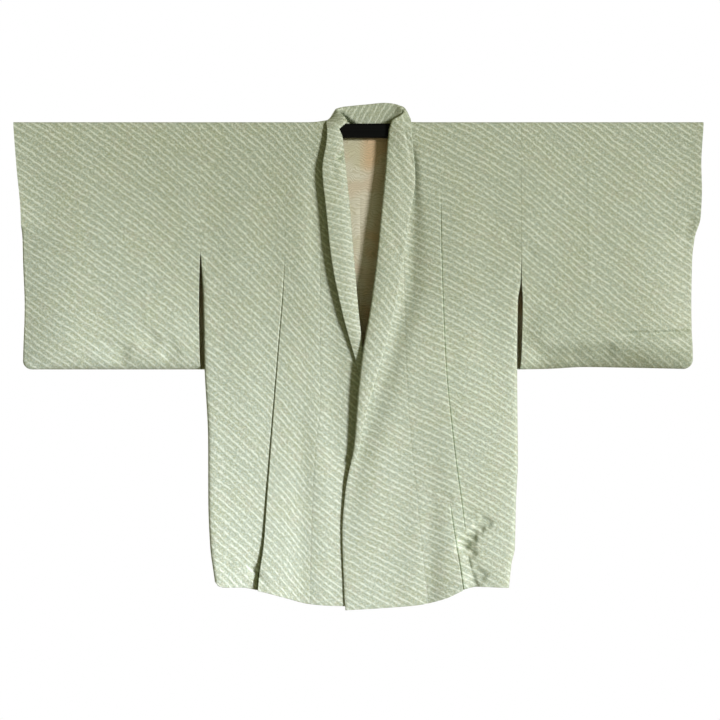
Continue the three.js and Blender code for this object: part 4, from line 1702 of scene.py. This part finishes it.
    def lining(self) -> bpy.types.Object:
        """Make the lining of this half of the back, from the back's own points, moved in.

        Returns:
            The piece.
        """
        points, cloth, drop = self.back_grid()
        columns = slice(0, points.shape[1] - len(self.side_shares))
        points, cloth, drop = points[1:-2, columns], cloth[1:-2, columns], drop[1:-2, columns]
        face = Sheet(points, np.zeros((*cloth.shape, 2)), LINING, -self.half.side)
        inset = points - face.normals() * (CLOTH + SEAM + LINING)
        inset[:, 0, 0] = 0.0
        inset[:, 1, 0] = 0.1 * self.half.side
        uv = np.stack([self.half.side * cloth, drop], axis=-1)
        sheet = Sheet(inset, uv, LINING, self.half.side, (0.4, 0.4, 0.4, 0.0))
        name = f"back_lining_{self.half.name}"
        piece = sheet.build(name, (self.finishes.lining,))
        settle(piece, Slot.LINING, f"lining_{self.half.name}")
        return piece

    def build(self) -> list[bpy.types.Object]:
        """Make all the pieces of this half."""
        return [self.body(), self.overlap(), self.lining()]


@dataclass
class Sleeve:
    """One bag sleeve, folded over the bar and sewn along its bottom and lower outer edge.

    Attributes:
        half: the cut of this half.
        finishes: the materials.
        stations: columns from the armhole to the wrist.
        edge: half the thickness where the cuff edge is sewn shut.
        corner: radius of the lower outer corner.
        bag_from: drop from which the rows bend to follow the bottom.
        bottom_round: height over which front and back close at the bottom.
        flat_share: the share of the width in which they close towards the cuff edge.
        sewn_share: how far apart they stay there, as a share.
        cuff_share: the same at the open wrist.
        sway_share: the share of the width, from the body, in which the sway begins.
        sewn_in: the same for the ripples and the back's own edge.
        tucked: how far the back's inner edge lies behind the front's.
        cuff: drop where the open wrist ends.
        cuff_turn: half the height in which it closes.
        tip: height in which the bottom's very edge rounds off.
        ripples: height of the soft ripples, and their lengths per radian across and down.
        turns: columns round the cuff edge.
        path: the line of the cloth over the bar.
    """

    half: Half
    finishes: Finishes
    stations: int = 104
    edge: float = 4.2
    corner: float = 17.0
    bag_from: float = 300.0
    bottom_round: float = 40.0
    flat_share: float = 0.34
    sewn_share: float = 0.26
    cuff_share: float = 0.8
    sway_share: float = 0.15
    sewn_in: float = 0.12
    tucked: float = 7.0
    cuff: float = 208.0
    cuff_turn: float = 14.0
    tip: float = 7.0
    ripples: tuple[float, float, float] = (0.5, 33.0, 80.0)
    turns: int = 6
    path: ShoulderPath = field(default_factory=ShoulderPath.over_bar)

    def levels(self) -> Array:
        """Work out the rows' levels, closest together at the bottom.

        Returns:
            The levels, from the bottom up.
        """
        close = np.array([0, 0.3, 0.9, 1.8, 3, 4.6, 6.6, 9, 12, 16, 21, 27, 34, 42])
        return np.concatenate(
            [SLEEVE_LENGTH - close, np.linspace(424, 384, 18), np.linspace(379, 14, 64)]
        )

    def grid(self) -> tuple[Array, Array, Array]:
        """Work out the sleeve, from the front's bottom over the bar to the back's.

        Returns:
            Its points, the places along X, and the distances along the cloth.
        """
        cut = self.half.sleeve
        outer, inner = (t.curve("drop", "across") for t in (cut.outer, cut.inner))
        sway = cut.sway.curve("drop", "out")
        t = np.concatenate([[0], np.linspace(0.002, 1, self.stations)])
        station = np.concatenate([t, np.ones(self.turns)])[None, :]
        turn = np.concatenate([0 * t, np.linspace(15, 90, self.turns)])[None, :] * math.pi / 180
        level = self.levels()[:, None]
        shut = ease((level - self.cuff + self.cuff_turn) / (2 * self.cuff_turn))

        def place_across(at: Array) -> Array:
            """Return the place across at each station of a row."""
            reach = outer(at) - self.edge
            return mix(inner(at) + SEAM / 2, reach, station) + self.edge * np.sin(turn)

        end = place_across(np.array([[SLEEVE_LENGTH]]))
        to_corner = np.maximum(0, end - (outer(SLEEVE_LENGTH) - self.corner))
        rise = self.corner - np.sqrt(np.maximum(0, self.corner**2 - to_corner**2))
        lowest = cut.bottom.curve("across", "drop")(end) - rise
        low = ease((level - self.bag_from) / (SLEEVE_LENGTH - self.bag_from))
        drop = level * mix(1, lowest / SLEEVE_LENGTH, low)
        across = place_across(level)

        to_bottom = np.clip((SLEEVE_LENGTH - level) / self.bottom_round, 0, 1)
        close = np.sqrt(1 - (1 - to_bottom) ** 2)
        tip = np.sqrt(1 - (1 - np.clip((SLEEVE_LENGTH - level) / self.tip, 0, 1)) ** 2)
        to_end = np.clip((1 - station) / self.flat_share, 0, 1)
        sewn = mix(self.sewn_share, 1, 1 - (1 - to_end) ** 2)
        at_edge = mix(1, self.cuff_share, ease((drop - BAR_HEIGHT) / (2 * BAR_HEIGHT)))
        squeeze = mix(mix(at_edge, 1, ease(to_end)), sewn, shut)
        closing = mix(1, np.cos(turn), shut)
        middle = -sway(drop) * ease(station / self.sway_share)
        sunk = sum(crease.sink(across, drop) for crease in cut.creases)
        height, wide, long = self.ripples
        # The ripples die out towards the shoulder, the bottom and the body.
        ripple = height * np.sin(across / wide + drop / long) * ease((drop - 40) / 120) * close
        ripple = ripple * ease(station / self.sewn_in)
        free = ease((drop - ARMHOLE + 20) / 60)
        behind = self.tucked * free * (1 - ease(station / self.sewn_in))

        def face(form: Read, sign: int) -> Array:
            """Return the points of the front or the back.

            Args:
                form: its depth, by the drop.
                sign: -1 for the front and 1 for the back.

            Returns:
                Rows by columns of points.
            """
            beside = across - behind if sign > 0 else across
            away = np.abs(form(drop)) * squeeze * close
            away = np.sqrt(away**2 + (self.edge * tip) ** 2 * (1 - to_end) ** 2)
            bend = (sunk if sign < 0 else 0.0) + ripple
            return self.half.place(beside, sign * away * closing + middle + bend * close, drop)

        path = self.path
        top_across = place_across(path.drop[:, None])
        top = self.half.place(top_across, path.y[:, None], path.drop[:, None])
        points = np.concatenate([face(FRONT_DEPTH, -1), top, face(BACK_DEPTH, 1)[::-1]])
        cloth = np.concatenate([across, top_across, across[::-1]])
        run = path.below(drop)
        s = np.concatenate([run, np.broadcast_to(path.run[:, None], top_across.shape), -run[::-1]])
        return points, cloth, s

    def build(self) -> list[bpy.types.Object]:
        """Make the sleeve.

        Returns:
            The piece, in a list.
        """
        half = self.half
        points, cloth, s = self.grid()
        uv = half.sleeve.stripes.cloth_uv(half.side * cloth, s)
        sheet = Sheet(points, uv, CLOTH, -half.side, (0.1, 0.1, 0.1, 0.5))
        piece = sheet.build(f"bag_sleeve_{half.name}", (self.finishes.silk, self.finishes.lining))
        settle(piece, Slot.SILK, f"sleeve_{half.name}")
        return [piece]


@dataclass
class Collar:
    """The folded shawl collar: one band round the neck and down both front edges.

    Attributes:
        finishes: the materials.
        lean: the stripes' angle to the band, in degrees, at shares of its length.
        neck_creases: creases of the part inside the neck, as seen from the front.
        leaf_creases: creases of the free part in front.
        neck_count: stations round the neck.
        leaf_columns: columns of the free part.
        tightest: the roll's radius as a share of how far the free part stands off.
        swell: how far the free part arches out at most, and as a share of its width.
    """

    finishes: Finishes
    lean: Table = Table(
        "share angle", ((0.0, 20), (0.36, 18), (0.44, 26), (0.5, 32), (0.56, 42), (1.0, 46))
    )
    neck_creases: tuple[Crease, ...] = (
        Crease((-3, 9), (-44, 41), 11.0, 9.0, 0.14),
        Crease((58, 8), (92, 48), -6.0, 12),
    )
    leaf_creases: tuple[Crease, ...] = (
        Crease((-22, -40), (-48, -57), 8.0, 3.6),
        Crease((-30, -62), (-47, -54), 2.0, 3.0),
        Crease((-52, -60), (-48, -100), 1.2, 6),
        Crease((82, 12), (103, -84), 1.8, 3.4, 0.5),
        Crease((91, 0), (103, -62), 1.4, 3.0, 0.5),
        Crease((62, -20), (88, -120), 1.0, 6),
        Crease((40, -120), (80, -260), 1.0, 9),
    )
    neck_count: int = 110
    leaf_columns: int = 20
    tightest: float = 0.55
    swell: tuple[float, float] = (1.8, 0.045)

    def front_stations(self, half: Half) -> Array:
        """Work out the band's lines on one front, from the shoulder down.

        Args:
            half: the half of the coat.

        Returns:
            The seam, roll and leaf points of each station.
        """
        body = FrontForm(half)
        upper, lower = np.linspace(COLLAR_START, 130, 80), np.linspace(134, COLLAR_END, 96)
        drop = np.concatenate([upper, lower])
        edge = half.front_edge.curve("drop", "across")(drop)
        roll, leaf, stand = (
            half.collar.curve("drop", name)(drop) for name in ("roll", "leaf", "stand")
        )
        sewn_y = body.depth(edge, drop) + CLOTH - COLLAR_CLOTH / 2
        return np.stack(
            [
                half.place(edge - SEAM / 2, sewn_y, drop),
                half.place(roll, sewn_y - self.roll_radius(stand), drop),
                half.place(leaf, body.depth(leaf, drop) - stand, drop),
            ],
            axis=1,
        )

    def roll_radius(self, stand: Array) -> Array:
        """Return the roll's radius: the flatter the free part lies, the tighter the roll."""
        return np.minimum(COLLAR_ROLL, self.tightest * stand)

    def neck_stations(self, left: Array, right: Array) -> Array:
        """Return smooth stations round the neck, between the tops of the two fronts.

        Args:
            left: the left front's stations from the shoulder down.
            right: the right front's.

        Returns:
            The seam, roll and leaf points of each station, from left to right.
        """
        rows = np.array(NECK.rows).reshape(-1, 3, 3)
        # Three stations of each front lead the curve into the neck.
        known = np.concatenate([left[36:3:-16], rows, right[4:37:16]])
        rolls = known[:, 1]
        run = np.concatenate([[0], np.cumsum(np.linalg.norm(np.diff(rolls, axis=0), axis=1))])
        first, last = 3, 2 + len(rows)
        fine = np.linspace(run[first], run[last], self.neck_count)
        slope = np.gradient(known.reshape(len(known), 9), run, axis=0)
        i = np.clip(np.searchsorted(run, fine, side="right") - 1, 0, len(run) - 2)
        step = (run[i + 1] - run[i])[:, None]
        t = (fine - run[i])[:, None] / step
        flat = known.reshape(len(known), 9)
        out = mix(flat[i], flat[i + 1], t * t * (3 - 2 * t))
        out = out + step * slope[i] * t * (1 - t) ** 2 - step * slope[i + 1] * t**2 * (1 - t)
        return out.reshape(-1, 3, 3)

    def grid(self) -> tuple[Array, Array]:
        """Work out the band's middle surface.

        Returns:
            Its points, and the place of each on the band's stripes.
        """
        left, right = self.front_stations(LEFT), self.front_stations(RIGHT)
        neck = self.neck_stations(left, right)
        stations = np.concatenate([right[::-1], neck[::-1], left])
        seam, roll, leaf = stations[:, 0], stations[:, 1], stations[:, 2]
        stands = [h.collar.curve("drop", "stand")(SHOULDER_Z - roll[:, 2]) for h in (RIGHT, LEFT)]
        half_way = len(right) + len(neck) // 2
        stand = np.concatenate([stands[0][:half_way], stands[1][half_way:]])
        radius = self.roll_radius(stand)[:, None]
        tangent = np.gradient(roll, axis=0)
        kernel = np.ones(5) / 5
        padded = np.pad(tangent, ((2, 2), (0, 0)), mode="edge")
        tangent = np.stack([np.convolve(padded[:, k], kernel, "valid") for k in range(3)], axis=1)
        tangent /= np.linalg.norm(tangent, axis=1, keepdims=True)
        into = (seam + leaf) / 2 - roll
        into -= tangent * np.sum(into * tangent, axis=1, keepdims=True)
        into /= np.linalg.norm(into, axis=1, keepdims=True)
        out = np.cross(tangent, into)
        centre = roll + into * (radius + COLLAR_CLOTH / 2)
        bend = [
            centre + radius * (math.sin(a) * out - math.cos(a) * into)
            for a in np.linspace(-math.pi / 2, math.pi / 2, ROLL_COLUMNS)
        ]
        width = np.linalg.norm(bend[-1] - leaf, axis=1, keepdims=True)
        most, share = self.swell
        swell = np.minimum(most, width * share)
        sewn = [mix(seam, bend[0], t) for t in np.linspace(0, 1, SEWN_COLUMNS + 1)[:-1]]
        free = [
            mix(bend[-1], leaf, t) + out * swell * math.sin(math.pi * t**0.8)
            for t in np.linspace(0, 1, self.leaf_columns + 1)[1:]
        ]
        points = np.stack([*sewn, *bend, *free], axis=1)
        return self.creased(points), self.band_uv(points)

    def creased(self, points: Array) -> Array:
        """Press the creases into the part inside the neck and into the free part in front.

        Args:
            points: the band's points.

        Returns:
            The moved points.
        """
        pressed = points.copy()
        x, y, z = np.moveaxis(points, -1, 0)
        column = np.arange(points.shape[1])[None, :]
        inside = ease((y - 3) / 5) * (column < SEWN_COLUMNS + 3)
        front = ease((-y - 3) / 5)
        for creases, share in ((self.neck_creases, inside), (self.leaf_creases, front)):
            for crease in creases:
                pressed[..., 1] += share * crease.sink(x, z)
        return pressed

    def band_uv(self, points: Array) -> Array:
        """Return the place of each point along and across the band's stripes.

        Args:
            points: the band's points.

        Returns:
            (distance along the stripes, distance across them) in the last axis.
        """
        middle = points[:, points.shape[1] // 2]
        steps = np.linalg.norm(np.diff(middle, axis=0), axis=1)
        length = np.concatenate([[0], np.cumsum(steps)])
        widths = np.linalg.norm(np.diff(points, axis=1), axis=2)
        width = np.concatenate([np.zeros((len(points), 1)), np.cumsum(widths, axis=1)], axis=1)
        roll_at = width[:, ROLL_MIDDLE : ROLL_MIDDLE + 1]
        angle = np.radians(self.lean.curve("share", "angle")(length / length[-1]))
        cosine = np.cos(angle)
        climbed = np.concatenate([[0], np.cumsum((cosine[1:] + cosine[:-1]) / 2 * steps)])
        w = width - roll_at
        phase = climbed[:, None] - np.sin(angle)[:, None] * w
        along = length[:, None] * np.sin(angle)[:, None] + w * cosine[:, None]
        return np.stack([along, phase], axis=-1)

    def build(self) -> list[bpy.types.Object]:
        """Make the collar.

        Returns:
            The piece, in a list.
        """
        points, uv = self.grid()
        middle = Sheet(points, uv, COLLAR_CLOTH, 1)
        facing = 1 if middle.normals()[20, ROLL_MIDDLE, 1] < 0 else -1
        middle.facing = facing
        face = points + middle.normals() * COLLAR_CLOTH / 2
        sheet = Sheet(face, uv, COLLAR_CLOTH, facing, (0.8, 0.9, 0.8, 0.1))
        piece = sheet.build("shawl_collar", (self.finishes.silk,))
        settle(piece, Slot.SILK, "collar")
        return [piece]


@dataclass
class SeamStitches:
    """The small running stitches that show in the seams between panels and at the armholes.

    Attributes:
        half: the cut of this half.
        finishes: the materials.
        pitch: from one stitch to the next.
        length: of the thread that shows.
        radius: of the thread.
    """

    half: Half
    finishes: Finishes
    pitch: float = 4.4
    length: float = 2.3
    radius: float = 0.24

    def paths(self) -> list[Array]:
        """Work out the lines that the stitches follow, a little under the cloth's face.

        Returns:
            The points of each line: at the panel seam, and at the armhole in front and behind.
        """
        half = self.half
        form = FrontForm(half)
        drop = np.arange(half.first_overlap + 30, 908, 2.0)
        across = half.panel_seam.curve("drop", "across")(drop)
        drop = np.minimum(drop, half.hem.curve("across", "drop")(across) - 3)
        panel = half.place(across, form.depth(across, drop) + 0.55, drop)
        down = np.arange(16, ARMHOLE - 2, 2.0)
        side = half.outline.curve("drop", "across")(down)
        front = half.place(side + SEAM / 2, form.depth(side, down) + 0.2, down)
        back = half.place(side + SEAM / 2, back_depth(side, down) - 0.2, down)
        return [panel, front, back]

    def build(self) -> list[bpy.types.Object]:
        """Make every stitch of this half as one piece.

        Returns:
            The piece, in a list.
        """
        angle = np.linspace(0, 2 * math.pi, 6, endpoint=False)
        ring = np.stack([np.cos(angle), np.sin(angle), np.zeros(6)], axis=1)
        sizes = self.radius * np.array([0.3, 1.0, 1.0, 0.3])[:, None, None]
        turn = [(j, (j + 1) % 6) for j in range(6)]
        quads = [[a, b, b + 6, a + 6] for k in (0, 6, 12) for a, b in np.add(turn, k)]
        quads += [[3, 2, 1, 0], [0, 5, 4, 3], [18, 19, 20, 21], [21, 22, 23, 18]]
        vertices, faces = [], []
        for path in self.paths():
            steps = np.linalg.norm(np.diff(path, axis=0), axis=1)
            run = np.concatenate([[0], np.cumsum(steps)])
            for start in np.arange(0, run[-1] - self.length, self.pitch):
                marks = start + self.length * np.array([0, 0.2, 0.8, 1.0])
                line = np.stack([np.interp(marks, run, path[:, k]) for k in range(3)], axis=1)
                faces.append(np.add(quads, 24 * len(vertices)))
                vertices.append((line[:, None] + sizes * ring).reshape(-1, 3))
        piece = make_object(
            f"seam_stitches_{self.half.name}",
            np.concatenate(vertices),
            np.concatenate(faces),
            (self.finishes.thread,),
        )
        return [settle(piece, Slot.SILK)]


@dataclass
class HangingBar:
    """The bar, which keeps its own solid and gets its plastic finish.

    Attributes:
        nodes: the part's solids by name.
        finishes: the materials.
    """

    nodes: dict[str, bpy.types.Object]
    finishes: Finishes

    def build(self) -> list[bpy.types.Object]:
        """Dress the bar.

        Returns:
            The bar, in a list.
        """
        bar = self.nodes["hanging_bar"]
        bar.data.materials.clear()
        bar.data.materials.append(self.finishes.bar)
        return [bar]


# ---------------------------------------------------------------- studio


@dataclass(frozen=True)
class Beam:
    """A soft light, narrowed by a grid of slats.

    Attributes:
        name: its name.
        place: where it stands, in metres.
        aim: what it points at.
        size: its width and height.
        power: in watts.
        colour: its sRGB colour.
        spread: angle of its beam, in degrees.
    """

    name: str
    place: tuple[float, float, float]
    aim: tuple[float, float, float]
    size: tuple[float, float]
    power: float
    colour: str
    spread: float


@dataclass
class Studio:
    """A plain pale floor, a soft key light from the wearer's left, soft fill, and the camera.

    Attributes:
        distance: from the camera to the coat's front, in metres.
        front: how far that lies in front of the origin.
        view: the width and height of what the camera sees there.
        centre_z: height of the view's middle.
        floor_z: height of the floor.
        sensor: width of the camera's sensor, in millimetres.
        sun_colour: the sRGB colour of the far lights.
        sun_angle: how large they look, in degrees, which softens their shadows.
        beams: the near lights.
    """

    distance: float = 3.4
    front: float = 0.02
    view: float = 1.368
    centre_z: float = -0.438
    floor_z: float = -1.62
    sensor: float = 36.0
    sun_colour: str = "#FFFAFA"
    sun_angle: float = 11.0
    beams: tuple[Beam, ...] = (
        Beam("side_fill", (1.5, -3.0, -0.75), (0.44, 0.0, -0.24), (0.3, 0.3), 0.11, "#F4F4FF", 16),
        Beam("front_fill", (1.5, -3, -0.6), (0.25, 0, -0.62), (0.05, 0.5), 0.057, "#F6F4FF", 5),
        Beam("low_key", (2.3, -2.9, -1.05), (-1.3, 0, -0.96), (1.2, 0.4), 10.0, "#E6E4FA", 28),
    )

    def camera(self) -> None:
        """Place the camera straight in front of the coat."""
        lens = bpy.data.cameras.new("camera")
        lens.sensor_width = self.sensor
        lens.lens = self.sensor * self.distance / self.view
        camera = bpy.data.objects.new("camera", lens)
        camera.location = (0.0, -self.distance - self.front, self.centre_z)
        camera.rotation_euler = (math.pi / 2, 0.0, 0.0)
        bpy.context.scene.collection.objects.link(camera)
        bpy.context.scene.camera = camera

    def area(self, beam: Beam) -> None:
        """Add a soft light.

        Args:
            beam: the light.
        """
        lamp = bpy.data.lights.new(beam.name, "AREA")
        lamp.spread = math.radians(beam.spread)
        lamp.shape = "RECTANGLE"
        lamp.size, lamp.size_y = beam.size
        lamp.energy = beam.power
        lamp.color = linear(beam.colour)[:3]
        light = bpy.data.objects.new(beam.name, lamp)
        light.location = beam.place
        x, y, z = (float(v) for v in np.subtract(beam.aim, beam.place))
        yaw = math.atan2(y, x) - math.pi / 2
        light.rotation_euler = (math.atan2(math.hypot(x, y), -z), 0.0, yaw)
        bpy.context.scene.collection.objects.link(light)

    def sun(
        self, name: str, azimuth: float, power: float, height: float = 10.0
    ) -> bpy.types.Object:
        """Add a far light, which reaches both sleeves alike and has soft shadows.

        Args:
            name: the light's name.
            azimuth: its place round the coat in degrees, from the front towards +X.
            power: its strength.
            height: its angle above the horizon.

        Returns:
            The light.
        """
        lamp = bpy.data.lights.new(name, "SUN")
        lamp.energy = power
        lamp.angle = math.radians(self.sun_angle)
        lamp.color = linear(self.sun_colour)[:3]
        light = bpy.data.objects.new(name, lamp)
        light.rotation_euler = (math.radians(90 - height), 0.0, math.radians(azimuth))
        bpy.context.scene.collection.objects.link(light)
        return light

    def floor(self) -> None:
        """Make the plain pale floor, with a light of its own that leaves the coat as it is."""
        corners = ((-5.0, -5.0), (5.0, -5.0), (5.0, 2.3), (-5.0, 2.3))
        mesh = bpy.data.meshes.new("floor")
        mesh.from_pydata([(x, y, self.floor_z) for x, y in corners], [], [(0, 1, 2, 3)])
        paint = bpy.data.materials.new("matt_white_paint")
        paint.use_nodes = True
        surface = paint.node_tree.nodes["Principled BSDF"]
        surface.inputs["Base Color"].default_value = linear("#EDEDEA")
        surface.inputs["Roughness"].default_value = 0.8
        mesh.materials.append(paint)
        floor = bpy.data.objects.new("floor", mesh)
        floor.visible_diffuse = False
        bpy.context.scene.collection.objects.link(floor)
        lit = bpy.data.collections.new("lit_by_floor_light")
        lit.objects.link(floor)
        light = self.sun("floor_light", 0.0, 2.0, height=90.0)
        light.light_linking.receiver_collection = lit

    def sky(self) -> None:
        """Make a white surround that lights the coat only weakly and warmly."""
        world = bpy.data.worlds.new("surround")
        bpy.context.scene.world = world
        world.use_nodes = True
        tree = world.node_tree
        tree.nodes.clear()
        add = partial(add_node, tree)
        seen = add("Background", {}, {"Color": (1.0, 1.0, 1.0, 1.0), "Strength": 1.0})
        fill = add("Background", {}, {"Color": linear("#FAF4B4"), "Strength": 0.18})
        rays = add("LightPath")
        both = add("MixShader", {}, {0: (rays, "Is Camera Ray"), 1: fill, 2: seen})
        add("OutputWorld", {}, {"Surface": both})

    def build(self) -> None:
        """Set up the whole studio."""
        self.camera()
        self.sun("key", 48.0, 3.14)
        self.sun("back_key", 215.0, 3.0)
        for beam in self.beams:
            self.area(beam)
        self.floor()
        self.sky()
        bpy.context.scene.view_settings.view_transform = "Standard"


def main() -> None:
    """Load the frame, build the studio and the coat, and note the sizes."""
    logging.basicConfig(level=logging.INFO, format="%(name)s %(message)s")
    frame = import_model()
    Studio().build()
    finishes = Finishes()
    pieces = HangingBar(frame["nodes"], finishes).build()
    for half in (LEFT, RIGHT):
        pieces += HalfBody(half, finishes).build()
        pieces += Sleeve(half, finishes).build()
        pieces += SeamStitches(half, finishes).build()
    pieces += Collar(finishes).build()
    for piece in pieces:
        LOG.info("%s has %d faces", piece.name, len(piece.data.polygons))


if __name__ == "__main__":
    main()
